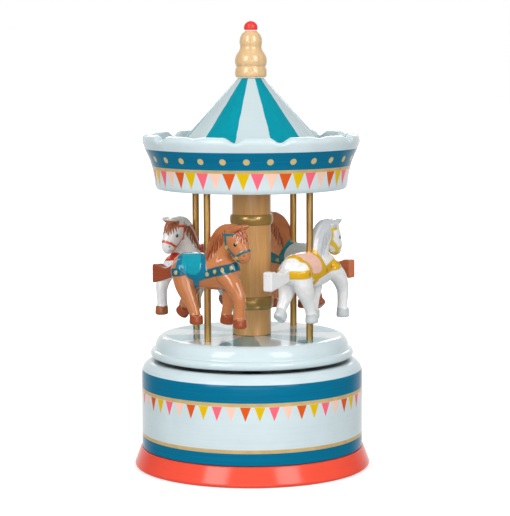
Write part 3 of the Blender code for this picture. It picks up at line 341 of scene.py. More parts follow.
def bunting(paint, ground, count, first, top, tip, width):
    """A ring of hanging flags over a ground colour. first is the azimuth of an orange flag's
    tip in degrees, and width the share of the pitch that a flag's top edge takes."""
    steps = round_count(paint, count, first)
    index = paint.math("FLOOR", steps)
    across = paint.math("ABSOLUTE", paint.math("SUBTRACT", paint.math("FRACT", steps), 0.5))
    room = paint.ramp(paint.z, tip, top, 0.0, width / 2)
    side = paint.above(paint.math("SUBTRACT", room, across), 0.0, 0.02)
    flag = paint.math("MULTIPLY", side, paint.between(paint.z, tip, top, 0.00008))
    hue = paint.math("DIVIDE", paint.math("ADD", paint.math("FLOORED_MODULO", index, 4), 0.5), 4)
    colours = paint.add("ShaderNodeValToRGB", {0: hue})
    colours.color_ramp.interpolation = "CONSTANT"
    stops = colours.color_ramp.elements
    for i, colour in enumerate(FLAG_COLOURS):
        stop = stops[i] if i < 2 else stops.new(i / 4)
        stop.position = i / 4
        stop.color = (*colour, 1.0)
    return paint.mix(flag, ground, colours.outputs[0])


def brushed_teal(paint):
    """Teal laid on with a brush while the piece turned, in long faint strokes."""
    strokes = paint.noise((26, 26, 1500), 4.0, 0.65)
    return paint.shade(TEAL, strokes, 0.16)


def gold_line(paint):
    """The gold of a painted line, a little uneven."""
    return paint.shade(GOLD_LINE, paint.noise((200, 200, 200), 3.0), 0.12)


def drum():
    """The drum with its painted bands. Its top is painted a dark blue-grey, as painted shade, where the
    turntable overhangs it.
    """
    outline = rounded([(5.0, 50.4, 0.3), (46.0, 50.4, 0), (46.6, 50.4, 0), (48.3, 50.0, 0),
                       (49.9, 49.0, 0), (51.1, 47.7, 0), (51.8, 46.0, 0), (52.0, 44.2, 0),
                       (52.0, 9.5, 0.3), (47.7, 9.4, 0), (47.7, 3.5, 0.3), (43.0, 3.5, 0.3),
                       (43.0, 44.4, 0.5), (5.0, 44.4, 0.3)], closed=True)
    paint, ground = gloss_paint("drum_gloss", PALE_BLUE, specular=0.22)
    colour = bunting(paint, ground, 50, 266.75, 0.0363, 0.0298, 0.76)
    teal, gold = brushed_teal(paint), gold_line(paint)
    for low, high, line in ((0.0092, 0.0152, teal), (0.0380, 0.0462, teal),
                            (0.0152, 0.0168, gold), (0.0364, 0.0380, gold)):
        colour = paint.mix(paint.between(paint.z, low, high, BRUSH_EDGE), colour, line)
    # Painted shade: the drum's top under the turntable's edge is darkened to stand in for the shadow in
    # the gap between them.
    bare_metal_and_gap_shade = paint.math("MULTIPLY", paint.above(paint.z, 0.0497, 0.0001),
                      paint.ramp(hypotenuse(paint, paint.x, paint.y), 0.0480, 0.0452))
    colour = paint.mix(bare_metal_and_gap_shade, colour, linear(30, 50, 64))
    material = paint.feed(base_color=colour)
    settle("painted_drum", lathe(outline, closed=True), material, "base", "drum_paint", "drum_body")


drum()


# Bottom cover: a disc of dark hardboard in the base ring, held by three countersunk screws
# driven up into the drum's foot.

def dress(name, material):
    """Gives a piece that keeps its CAD shape its finish."""
    materials = frame["nodes"][name].data.materials
    materials.clear()
    materials.append(material)


def bottom_cover():
    """The hardboard disc with its fibres."""
    board = Finish("hardboard", 0.7)
    fibre = board.noise((1500, 1500, 1500), 4.0, 0.7)
    cloud = board.noise((90, 90, 90), 2.0)
    colour = board.mix(board.ramp(fibre, 0.35, 0.65), linear(78, 56, 40), linear(120, 92, 66))
    board.wear((fibre, 0.6), distance=0.0001)
    dress("bottom_cover", board.feed(base_color=board.shade(colour, cloud, 0.1)))


bottom_cover()


# Movement: a zinc bedplate hangs from the drum's ceiling and carries the spring housing, the
# cylinder and comb, and the governor train. It is out of sight, so its CAD shapes stay.

def metal(name, colour, roughness, lines, grain=0.10):
    """Bare metal with tool marks along one direction and a faint tarnish."""
    bare_metal_and_gap_shade = Finish(name, roughness, metallic=1.0)
    marks = bare_metal_and_gap_shade.noise(lines, 3.0, 0.6)
    tarnish = bare_metal_and_gap_shade.noise((120, 120, 120), 3.0)
    body = bare_metal_and_gap_shade.shade(bare_metal_and_gap_shade.shade(colour, tarnish, grain), marks, grain * 0.6)
    bare_metal_and_gap_shade.wear((marks, 0.35))
    rough = bare_metal_and_gap_shade.ramp(tarnish, 0.3, 0.7, roughness * 0.75, roughness * 1.3)
    return bare_metal_and_gap_shade.feed(base_color=body, roughness=rough)


def movement():
    """Gives every hidden metal and nylon piece its own finish."""
    steel = metal("nickel_plated_steel", (0.56, 0.57, 0.58), 0.28, (300, 300, 3000))
    blued = metal("blued_spring_steel", (0.20, 0.24, 0.30), 0.30, (2500, 200, 2500))
    brass = metal("machined_brass", (0.72, 0.52, 0.24), 0.30, (400, 2400, 2400))
    zinc = metal("zinc_casting", (0.48, 0.48, 0.49), 0.50, (900, 900, 900), 0.18)
    nylon = Finish("moulded_nylon", 0.42)
    flow = nylon.noise((700, 700, 700), 2.0)
    nylon.wear((flow, 0.2))
    nylon_white = nylon.feed(base_color=nylon.shade(linear(236, 234, 224), flow, 0.03))
    finishes = {"steel": steel, "spring_steel": blued, "gear_brass": brass, "zinc": zinc,
                "nylon": nylon_white}
    for row in frame["record"]["subparts"]:
        finish = finishes.get(row["material_slot"])
        if finish:
            dress(row["node"], finish)


movement()


# Turntable: a beech disc with a bead, a groove and an ogee turned on its edge, sprayed pale
# blue and dipped in clear lacquer. Six teal segments are printed on its top.

def turntable():
    """The moulded disc; holes for tenons and poles stay hidden under what fills them."""
    bead = [(45.8 + 2.0 * math.cos(a), 53.8 + 2.0 * math.sin(a), 0)
            for a in np.radians(np.linspace(-90, 62, 14))]
    ogee = [(41.2 + 4.4 * math.cos(a), 56.0 + 6.2 * math.sin(a), 0)
            for a in np.radians(np.linspace(4, 84, 14))]
    outline = rounded([(9.3, 54.6, 0), (9.3, 51.8, 0.3), (44.0, 51.8, 0), *bead, (45.75, 55.75, 0),
                       *ogee, (40.6, 62.2, 0), (0.0, 62.2, 0)])
    outline.insert(0, (0.0, 0.0546))
    paint, ground = gloss_paint("turntable_gloss", PALE_BLUE, 0.20, 0.03, 0.2)
    paint.shader.inputs["Coat Weight"].default_value = 0.65
    wedge = paint.between(paint.math("FRACT", round_count(paint, 6, 261)), 0.25, 0.75, 0.004)
    past_edge = paint.above(hypotenuse(paint, paint.x, paint.y), 0.0404, BRUSH_EDGE)
    on_top = paint.math("MULTIPLY", paint.above(paint.z, 0.06195, 0.00005),
                        paint.math("SUBTRACT", 1.0, past_edge))
    strokes = paint.noise((400, 400, 400), 3.0)
    wedge = paint.math("MULTIPLY", wedge, on_top)
    colour = paint.mix(wedge, ground, paint.shade(BRIGHT_TEAL, strokes, 0.06))
    material = paint.feed(base_color=colour)
    settle("moulded_turntable", lathe(outline), material, "turntable", "table_paint", "turntable")


turntable()


# Column: a turned post with a gilded bead near each end, stained golden brown under pearl
# lacquer. Its tenons are glued into the turntable and the canopy.

def column():
    """The post with its two gilded beads."""
    def bead(low, high):
        middle, half = (low + high) / 2, (high - low) / 2
        return [(9.1 + 1.15 * math.cos(a) ** 0.7, middle + half * math.sin(a), 0)
                for a in np.radians(np.linspace(-90, 90, 15))]

    outline = rounded([(0, 57.5, 0), (5.0, 57.5, 0.3), (5.0, 62.3, 0), (9.1, 62.3, 0.2),
                       *bead(74.4, 80.4), *bead(114.0, 119.0), (9.1, 130.9, 0), (5.0, 130.9, 0),
                       (5.0, 155.4, 0.3), (0, 155.4, 0)])
    stain = Finish("golden_stain", 0.26, coat=0.3)
    grain = stain.noise((900, 900, 45), 4.0, 0.6)
    pores = stain.noise((2600, 2600, 160), 2.0)
    wood = stain.mix(stain.ramp(grain, 0.3, 0.7), linear(222, 164, 98), linear(238, 184, 120))
    wood = stain.shade(wood, pores, 0.05)
    gilt = stain.shade(linear(204, 166, 96), stain.noise((200, 200, 900), 2.0), 0.05)
    lower = stain.between(stain.z, 0.0744, 0.0804, BRUSH_EDGE)
    upper = stain.between(stain.z, 0.1140, 0.1190, BRUSH_EDGE)
    gilded = stain.math("MAXIMUM", lower, upper)
    stain.wear((pores, 0.2))
    material = stain.feed(base_color=stain.mix(gilded, wood, gilt),
                          metallic=stain.ramp(gilded, 0.0, 1.0, 0.0, 0.55))
    settle("turned_column", lathe(outline, 128), material, "turntable", "column_wood", "column")


column()


# Poles: satin brass tube, 3.2 mm across, pressed into the turntable and the canopy and passing
# through each horse just behind its withers.

POLE_NAMES = ("front_left", "front_right", "back_left", "back_right")


def pole_axis(name):
    """The centre of a pole, from its CAD box."""
    low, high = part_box("pole_" + name)
    return (low.x + high.x) / 2, (low.y + high.y) / 2


def poles():
    """Four tubes with softened ends."""
    brass = metal("satin_brass", linear(228, 182, 112), 0.42, (260, 260, 60), 0.06)
    for name in POLE_NAMES:
        outline = rounded([(0, 57.6, 0), (1.6, 57.6, 0.2), (1.6, 138.9, 0.2), (0, 138.9, 0)])
        bm = lathe(outline, 48)
        bmesh.ops.translate(bm, verts=bm.verts, vec=(*pole_axis(name), 0))
        settle("brass_tube_" + name, bm, brass, "turntable", "pole_brass", "pole_" + name)


poles()


# Horses: four carved and hand-painted gallopers, one shape in four coats. Each is bored for its
# pole, rubbed smooth, primed, painted with a fine brush and lacquered.

LEG_SPREAD = 3.8


def along(points, spacing=0.45):
    """Points along a smooth curve through given ones, closer together than their size."""
    points = np.array(points, float)
    ends = np.vstack([2 * points[0] - points[1], points, 2 * points[-1] - points[-2]])
    result = []
    for a, b, c, d in zip(ends, ends[1:], ends[2:], ends[3:]):
        steps = max(2, int(np.linalg.norm((c - b)[:3]) / spacing))
        for t in np.arange(steps) / steps:
            result.append(0.5 * (2 * b + (c - a) * t + (2 * a - 5 * b + 4 * c - d) * t * t
                                 + (3 * b - a - 3 * c + d) * t ** 3))
    return result + [points[-1]]


def add_to(form, limb):
    """Puts a limb with the rest of the rough form, where overlaps don't matter yet."""
    whole = bmesh.new()
    whole.from_mesh(form)
    limb_mesh = bpy.data.meshes.new("limb")
    limb.to_mesh(limb_mesh)
    whole.from_mesh(limb_mesh)
    whole.to_mesh(form)
    bpy.data.meshes.remove(limb_mesh)
    limb.free()
    whole.free()


def carve(form, points, spacing=0.9):
    """Adds rough form along (forward, side, height, depth radius, side radius) points."""
    limb = bmesh.new()
    for s, w, z, deep, wide in along(points, spacing):
        place = Matrix.Translation((s, w, z)) @ Matrix.Diagonal((deep, wide, deep, 1))
        bmesh.ops.create_uvsphere(limb, u_segments=16, v_segments=10, radius=1, matrix=place)
    add_to(form, limb)


def hoof(form, s, w, z, lean):
    """A rounded hoof block with a flat sole, leaning back by an angle in degrees."""
    limb = bmesh.new()
    place = (Matrix.Translation((s, w, z)) @ Matrix.Rotation(math.radians(lean), 4, "Y")
             @ Matrix.Translation((0.35, 0, 2.15)) @ Matrix.Diagonal((1.14, 1, 1, 1)))
    bmesh.ops.create_cone(limb, cap_ends=True, segments=28, radius1=3.05, radius2=2.75, depth=4.3,
                          matrix=place)
    sole = [edge for edge in limb.edges if all(v.co.z < z + 3 for v in edge.verts)
            and edge.calc_length() < 1]
    bmesh.ops.bevel(limb, geom=sole, offset=1.1, segments=4, affect="EDGES", profile=0.5, material=-1)
    add_to(form, limb)


def horse_form():
    """The carved horse in its own millimetres: forward, side (out of the ring is +), height."""
    form = bpy.data.meshes.new("horse_rough")
    carve(form, [(-12.6, 0, 95.2, 7.2, 5.8), (-6, 0, 94.9, 7.9, 6.2), (2, 0, 94.6, 8.0, 6.2),
               (9, 0, 94.6, 7.7, 5.8), (11.6, 0, 95.6, 6.4, 5.0)])
    carve(form, [(5.5, 0, 97.5, 7.6, 5.0), (6.6, 0, 103, 6.7, 4.0), (8.6, 0, 107.5, 6.0, 3.6),
               (12.0, 0, 110.8, 5.3, 3.6), (14.8, 0, 111.4, 4.7, 3.7)])
    carve(form, [(15.6, 0, 110.4, 5.2, 3.9), (17.2, 0, 108.8, 5.6, 4.1), (18.7, 0, 106.4, 5.1, 3.8),
               (20.1, 0, 104.2, 4.3, 3.2), (20.9, 0, 102.9, 3.3, 2.9)])
    crest = [(1.6, 0, 104.0, 2.0, 1.8), (4.2, 0, 108.6, 2.4, 2.0), (7.6, 0, 112.8, 2.5, 2.2),
             (11.4, 0, 115.0, 2.1, 2.3), (15.5, 0, 115.6, 1.7, 2.2), (18.6, 0, 114.6, 1.8, 2.2),
             (21.0, 0, 112.4, 1.6, 1.9), (21.9, 0, 110.6, 1.1, 1.2)]
    carve(form, crest, 0.6)
    for side in (-1, 1):
        carve(form, [(14.6, side * 2.4, 114.2, 1.5, 1.2), (18.5, side * 2.7, 115.6, 1.5, 1.0),
                   (21.6, side * 2.8, 116.4, 0.5, 0.4)], 0.4)
    legs = (
        (1, ((13, 94, 4.6), (18.2, 89.6, 4.0), (21.2, 84, 3.1), (21.2, 78, 2.6), (20.9, 74, 2.7)),
         (21.1, 70.6, 0)),
        (-1, ((9, 94, 4.6), (9.8, 86.5, 3.7), (8.9, 80, 2.7), (7.8, 75, 2.6)), (7.6, 70.9, 8)),
        (1, ((-12, 94.5, 5.6), (-10, 87.5, 4.7), (-7, 81.5, 3.3), (-5, 77, 2.7), (-4.2, 74, 2.8)),
         (-4.0, 70.5, 0)),
        (-1, ((-12, 94, 5.6), (-12.4, 87, 4.4), (-14.4, 82, 3.1), (-16.8, 78.4, 2.6)),
         (-19.2, 73.6, 42)),
    )
    for side, points, (s, z, lean) in legs:
        w = side * LEG_SPREAD
        carve(form, [(p[0], w * (0.86 if k == 0 else 1), p[1], p[2], p[2] * 0.92)
                   for k, p in enumerate(points)], 0.8)
        hoof(form, s, w, z, lean)
    rough = bpy.data.objects.new("horse_rough", form)
    bpy.context.scene.collection.objects.link(rough)
    voxels = rough.modifiers.new("carve", "REMESH")
    voxels.mode = "VOXEL"
    voxels.voxel_size = 0.28
    sand = rough.modifiers.new("sand", "SMOOTH")
    sand.factor = 0.5
    sand.iterations = 8
    graph = bpy.context.evaluated_depsgraph_get()
    made = bpy.data.meshes.new_from_object(rough.evaluated_get(graph), depsgraph=graph)
    bpy.data.objects.remove(rough)
    return made


def points_of(mesh, what="co"):
    """A mesh's points or normals as an array."""
    values = np.zeros(len(mesh.vertices) * 3, np.float32)
    mesh.vertices.foreach_get(what, values)
    return values.reshape(-1, 3).astype(float)


def line_distance(p, path):
    """Distance in the side view from points p to a path."""
    best = np.full(len(p), 1e9)
    for a, b in zip(path, path[1:]):
        a, b = np.array(a, float), np.array(b, float)
        t = np.clip(((p - a) @ (b - a)) / max(1e-9, (b - a) @ (b - a)), 0, 1)
        best = np.minimum(best, np.linalg.norm(p - a - t[:, None] * (b - a), axis=1))
    return best


def patch(p, corners):
    """Signed distance in the side view to a closed outline, positive inside."""
    outline = [*corners, corners[0]]
    inside = np.zeros(len(p), bool)
    for (x0, y0), (x1, y1) in zip(outline, outline[1:]):
        if y0 == y1:
            continue
        crosses = (p[:, 1] < y0) != (p[:, 1] < y1)
        inside ^= crosses & (p[:, 0] < (x1 - x0) * (p[:, 1] - y0) / (y1 - y0) + x0)
    away = line_distance(p, outline)
    return np.where(inside, away, -away)


def soft(distance, width=0.14):
    """A mask from a signed distance, with a brush's soft edge."""
    return np.clip(distance / width * 0.5 + 0.5, 0, 1)


SADDLE = ((-18.2, 96.6), (-17.0, 101.0), (-16.4, 105.6), (-0.8, 105.6), (-0.4, 98), (0.4, 93.6),
          (-1.2, 92.0), (-4.2, 91.0), (-4.6, 88.0), (-5.2, 86.6), (-7.4, 86.6), (-7.8, 88.4),
          (-8.2, 91.0), (-11.2, 92.2), (-14.2, 94.4))
SADDLE_PANEL = ((-14.8, 98.4), (-13.8, 102.0), (-12.8, 105.6), (-3.4, 105.6), (-3.4, 98), (-3.8, 95.4),
                (-6.2, 93.7), (-9.6, 93.7), (-12.6, 95.2), (-14.4, 96.8))
MANE = ((-0.6, 99.6), (0.8, 102.6), (1.4, 99.8), (2.2, 104.2), (3.2, 101.2), (3.6, 106.0),
        (4.8, 103.2), (5.2, 108.0), (6.6, 105.2), (6.8, 109.8), (8.2, 107.0), (8.6, 111.6),
        (9.8, 109.2), (10.2, 113.2), (11.4, 112.2), (12.0, 115.0), (9.0, 118.5), (2.0, 118.5),
        (-5.0, 105.0))
CREST = ((4.6, 112.6), (8.0, 112.2), (11.0, 113.2), (14.5, 113.0), (17.0, 114.0), (25.0, 113.0),
         (25.0, 119.0), (4.0, 119.0))
FORELOCK = ((14.2, 114.4), (14.8, 111.2), (15.8, 113.0), (16.4, 109.8), (17.6, 112.4), (18.2, 109.0),
            (19.2, 111.8), (19.8, 108.4), (20.8, 111.4), (21.6, 108.2), (23.0, 111.0), (25.5, 110.0),
            (25.5, 116.0), (14.4, 116.0))
MANE_STROKES = (((1.6, 104.6), (0.0, 100.4)), ((3.3, 107.1), (1.0, 101.9)), ((3.4, 105.4), (2.2, 101.6)),
                ((4.2, 109.2), (2.7, 103.2)), ((5.5, 110.3), (4.0, 103.6)), ((6.0, 108.6), (5.0, 104.0)),
                ((6.6, 111.3), (5.9, 105.4)), ((7.7, 112.4), (7.3, 106.6)), ((8.3, 110.6), (8.3, 107.4)),
                ((8.9, 113.2), (9.0, 108.2)), ((10.2, 114.2), (10.1, 109.6)))
FORELOCK_STROKES = (((17.8, 114.8), (14.6, 111.9)), ((18.4, 114.6), (16.4, 110.6)),
                    ((18.9, 114.4), (18.0, 110.2)), ((19.4, 114.2), (19.6, 109.4)),
                    ((20.0, 114.0), (21.2, 109.0)), ((20.6, 113.8), (22.6, 110.0)))
BRIDLE = (((9.8, 112.4), (15.2, 112.8)), ((10.6, 112.4), (10.9, 107.2), (16.6, 102.4)),
          ((17.0, 103.2), (20.0, 104.8), (25.0, 106.2)), ((16.8, 102.2), (18.4, 100.0)))


def decorate(mesh, coat):
    """Paints one horse vertex by vertex and lifts its saddle cloth and straps off the coat.
    The brush comes at each side from a little in front, so marks lean back as they go round."""
    place = points_of(mesh)
    normals = points_of(mesh, "normal")
    s, w, z = place.T
    side_view = np.stack([s - 0.75 * np.abs(w), z], axis=1)
    colour = np.tile(np.array(coat["body"]), (len(place), 1))
    lift = np.zeros(len(place))

    def lay(mask, name, thickness=None):
        nonlocal colour, lift
        if name not in coat:
            return
        colour = colour * (1 - mask[:, None]) + np.array(coat[name]) * mask[:, None]
        if thickness is not None:
            lift = lift * (1 - mask) + thickness * mask

    def dab(at, radius, squash=1.0):
        away = side_view - np.array(at)
        return soft(radius - np.hypot(away[:, 0], away[:, 1] / squash))

    for foot, top in ((21.1, 74.9), (7.6, 75.2), (-4.0, 75.0)):
        lay(soft(top - z + 0.25 * np.sin(s * 2.1)) * (np.abs(s - foot) < 5.4), "hoof")
    lay(soft(-((z - 77.6) + 0.62 * (s + 17.2))) * (s < -11), "hoof")
    lay(soft(patch(side_view, MANE)), "mane", 0.22)
    lay(soft(patch(side_view, CREST)), "crest")
    lay(soft(patch(side_view, FORELOCK)) * (z < 115.4), "forelock", 0.12)
    for strokes, name in ((MANE_STROKES, "mane_stroke"), (FORELOCK_STROKES, "forelock_stroke")):
        for start, end in strokes:
            lay(soft(0.24 - line_distance(side_view, (start, end)), 0.18), name, 0.0)
    breast = line_distance(side_view, ((-2, 94.0), (0.3, 94.4), (5, 95.8), (10, 96.9), (18, 98.4)))
    rear = line_distance(side_view, ((-13, 95.2), (-16, 94.6), (-22, 93.8)))
    lay(soft(2.0 - breast), "strap", 0.22)
    lay(soft(1.9 - rear), "strap", 0.22)
    lay(soft(patch(side_view, SADDLE)), "saddle_edge", 0.34)
    lay(soft(patch(side_view, SADDLE_PANEL)), "saddle", 0.50)
    for dot in ((0.3, 94.3), (4.6, 95.7), (8.9, 96.7), (13.8, 97.6), (-18.0, 94.2)):
        lay(dab(dot, 0.95) * (np.abs(w) > 1.5), "stud", 0.34)
    for path in BRIDLE:
        lay(soft(0.60 - line_distance(side_view, path)), "halter", 0.14)
    for ring in ((11.2, 106.8), (16.8, 102.2)):
        lay(dab(ring, 0.95), "ring", 0.24)
    lay(dab((16.1, 108.4), 0.95, 0.9) * (np.abs(w) > 2), "eye", 0.08)
    lay(dab((16.35, 108.75), 0.24) * (np.abs(w) > 2), "glint", 0.10)
    lay(dab((21.0, 103.4), 0.55, 0.8) * (np.abs(w) > 0.9) * 0.8, "nostril", -0.10)
    lay(soft(0.16 - line_distance(side_view, ((18.6, 101.1), (21.4, 101.6)))) * 0.6, "nostril", -0.08)
    place += normals * lift[:, None]
    mesh.vertices.foreach_set("co", place.astype(np.float32).ravel())
    rgba = np.ones((len(place), 4), np.float32)
    rgba[:, :3] = colour
    layer = mesh.attributes.new("brushwork", "FLOAT_COLOR", "POINT")
    layer.data.foreach_set("color", rgba.ravel())
    own = mesh.attributes.new("own_place", "FLOAT_VECTOR", "POINT")
    own.data.foreach_set("vector", (place * 0.001).astype(np.float32).ravel())
    mesh.update()


def horse_paint(name):
    """Brushed gloss over carved wood, its colours laid on by hand."""
    paint = Finish(name, 0.20, coat=0.6)
    own = paint.add("ShaderNodeAttribute", attribute_name="own_place").outputs["Vector"]
    work = paint.add("ShaderNodeAttribute", attribute_name="brushwork").outputs["Color"]
    strokes = paint.noise((260, 900, 420), 3.0, 0.6, own)
    cloud = paint.noise((110, 110, 110), 2.0, 0.5, own)
    facets = paint.noise((420, 420, 420), 1.0, 0.5, own)
    paint.wear((facets, 0.35), (strokes, 0.15), distance=0.00006)
    return paint.feed(base_color=paint.shade(paint.shade(work, strokes, 0.07), cloud, 0.05))


INK = linear(28, 22, 22)
COATS = {
    "front_left": dict(
        body=linear(199, 126, 77), mane=linear(178, 98, 52), crest=linear(190, 114, 68),
        mane_stroke=linear(128, 52, 24), forelock=linear(190, 112, 66),
        forelock_stroke=linear(142, 58, 26), hoof=linear(158, 74, 38), saddle=linear(0, 158, 178),
        saddle_edge=linear(0, 120, 150), strap=linear(0, 94, 116), stud=linear(200, 178, 118),
        halter=linear(16, 112, 118), ring=linear(204, 182, 108), eye=INK,
        glint=linear(235, 225, 215), nostril=linear(120, 46, 26)),
    "front_right": dict(
        body=linear(240, 240, 240), mane=linear(205, 208, 212), crest=linear(208, 211, 215),
        mane_stroke=linear(190, 194, 199), forelock=linear(222, 224, 226),
        hoof=linear(206, 211, 212), saddle=linear(248, 200, 180), saddle_edge=linear(226, 176, 8),
        strap=linear(224, 174, 8), stud=linear(196, 142, 30), halter=linear(224, 190, 50),
        ring=linear(214, 190, 80), eye=INK, glint=linear(240, 240, 240),
        nostril=linear(120, 120, 124)),
    "back_left": dict(
        body=linear(242, 242, 242), mane=linear(164, 92, 54), crest=linear(238, 238, 236),
        mane_stroke=linear(128, 66, 38), forelock=linear(176, 104, 66),
        forelock_stroke=linear(140, 72, 42), hoof=linear(168, 96, 56), saddle=linear(236, 96, 50),
        saddle_edge=linear(200, 52, 28), strap=linear(212, 58, 32), stud=linear(206, 178, 110),
        halter=linear(222, 84, 40), ring=linear(214, 150, 80), eye=INK,
        glint=linear(240, 240, 240), nostril=linear(90, 80, 80)),
    # The back right coat is painted lighter throughout, as painted light, to make up for the shade it
    # stands in behind the column and under the canopy.
    "back_right": dict(
        body=linear(234, 158, 110), mane=linear(204, 124, 78), crest=linear(206, 128, 82),
        mane_stroke=linear(138, 72, 40), forelock=linear(160, 92, 54),
        forelock_stroke=linear(110, 56, 30), hoof=linear(176, 94, 54), saddle=linear(218, 232, 234),
        saddle_edge=linear(0, 134, 144), strap=linear(0, 128, 140), stud=linear(208, 190, 130),
        halter=linear(20, 110, 120), ring=linear(204, 182, 108), eye=INK,
        glint=linear(235, 225, 215), nostril=linear(110, 46, 28)),
}


def to_ring(name):
    """The move from a horse's own millimetres to its pole on the turntable."""
    x, y = pole_axis(name)
    heading = math.atan2(y, x) + math.pi / 2
    mirror = Matrix.Diagonal((0.001, -0.001, 0.001, 1))
    return Matrix.Translation((x, y, 0)) @ Matrix.Rotation(heading, 4, "Z") @ mirror


def horses():
    """Four horses from one carved form."""
    form = horse_form()
    for name, coat in COATS.items():
        mesh = form.copy()
        decorate(mesh, coat)
        bm = bmesh.new()
        bm.from_mesh(mesh)
        bmesh.ops.transform(bm, matrix=to_ring(name), verts=bm.verts)
        bmesh.ops.reverse_faces(bm, faces=bm.faces)
        slot = "white_horse_paint" if name in ("front_right", "back_left") else "brown_horse_paint"
        settle("carved_horse_" + name, bm, horse_paint("horse_gloss_" + name), "turntable", slot,
               "horse_" + name, sharp=60)


horses()


# Tails: thin wooden slabs with a square end, scored along their length for hair, glued into the
# rump and painted to match the mane.

TAIL_ROOT = -18.6
HALF_THICKNESS = 2.35
TAILS = {"front_left": (linear(160, 74, 42), 12.4, 0.20),
         "front_right": (linear(236, 236, 237), 14.2, 0.03),
         "back_left": (linear(160, 74, 42), 13.1, 0.20),
         # The back right tail is painted lighter, as painted light, to make up for the shade at the back
         # of the ring.
         "back_right": (linear(208, 118, 78), 15.8, 0.14)}


def tails():
    """Four slabs, each with its colour, its length in millimetres and how strongly it is scored."""
    core, corner = (0.94, 0.78, 0.78), Vector((0.06, 0.22, 0.22))
    for name, (colour, length, streaks) in TAILS.items():
        bm = bmesh.new()
        bmesh.ops.create_cube(bm, size=2)
        bmesh.ops.subdivide_edges(bm, edges=bm.edges, cuts=27, use_grid_fill=True)
        own = bm.verts.layers.float_vector.new("own_place")
        for vert in bm.verts:
            held = Vector([max(-c, min(c, p)) for c, p in zip(core, vert.co)])
            off = vert.co - held
            if off.length > 0:
                unit = Vector([o / c for o, c in zip(off, corner)]).normalized()
                held = held + Vector([a * c for a, c in zip(unit, corner)])
            u, v, t = held
            down = (u + 1) / 2
            top = 97.3 - 2.6 * math.sin(math.pi * min(1, down * 1.25)) * 0.75 - 0.9 * down
            low = 91.4 - 3.8 * down ** 0.8
            z = low + (top - low) * (v + 1) / 2
            groove = math.sin(v * 13 + 1.2 * math.sin(down * 5)) + 0.6 * math.sin(v * 29 + down * 4)
            w = HALF_THICKNESS * t * (1 - 0.10 * streaks * groove * (1 - abs(v)))
            vert.co = (TAIL_ROOT - length * down, w, z)
            vert[own] = vert.co * 0.001
        bmesh.ops.transform(bm, matrix=to_ring(name), verts=bm.verts)
        bmesh.ops.recalc_face_normals(bm, faces=bm.faces)
        paint = Finish("tail_gloss_" + name, 0.28, coat=0.4)
        place = paint.add("ShaderNodeAttribute", attribute_name="own_place").outputs["Vector"]
        hair = paint.noise((70, 500, 900), 4.0, 0.6, place)
        body = paint.shade(paint.shade(colour, hair, streaks), paint.noise((150, 150, 150), 2.0), 0.05)
        paint.wear((hair, 0.1 + streaks), distance=0.00008)
        slot = "white_horse_paint" if name == "front_right" else "rust_paint"
        settle("scored_tail_" + name, bm, paint.feed(base_color=body), "turntable", slot,
               "tail_" + name, sharp=50)


tails()


# Canopy: one turned ring of beech with a dished top and a rim cut into fifteen waves, two of the
# cuts shallow. A teal band with gold spots runs under the rim, over a second string of bunting.

FIRST_CUT, CUT_COUNT, CUT_HALF_WIDTH = 21.6, 15, 6.3
CUT_DEPTH, SHALLOW_DEPTH, SHALLOW_CUTS = 2.4, 0.7, (9, 12)
RIM_FOOT, RIM_RISE, RIM_INSIDE = 0.1505, 0.0061, 0.0450
SPOT_COUNT, SPOT_HEIGHT, SPOT_RADIUS, BAND_RADIUS = 28, 0.1457, 0.0015, 0.0478

def swept(points, per=6):
    """A smooth outline through (radius, height) points in millimetres."""
    points = [Vector(p) for p in points]
    ends = [points[0] * 2 - points[1], *points, points[-1] * 2 - points[-2]]
    outline = []
    for a, b, c, d in zip(ends, ends[1:], ends[2:], ends[3:]):
        for k in range(per):
            t = k / per
            outline.append(0.5 * (2 * b + (c - a) * t + (2 * a - 5 * b + 4 * c - d) * t * t
                                  + (3 * b - a - 3 * c + d) * t ** 3))
    outline.append(points[-1])
    return [(p.x * 0.001, p.y * 0.001) for p in outline]


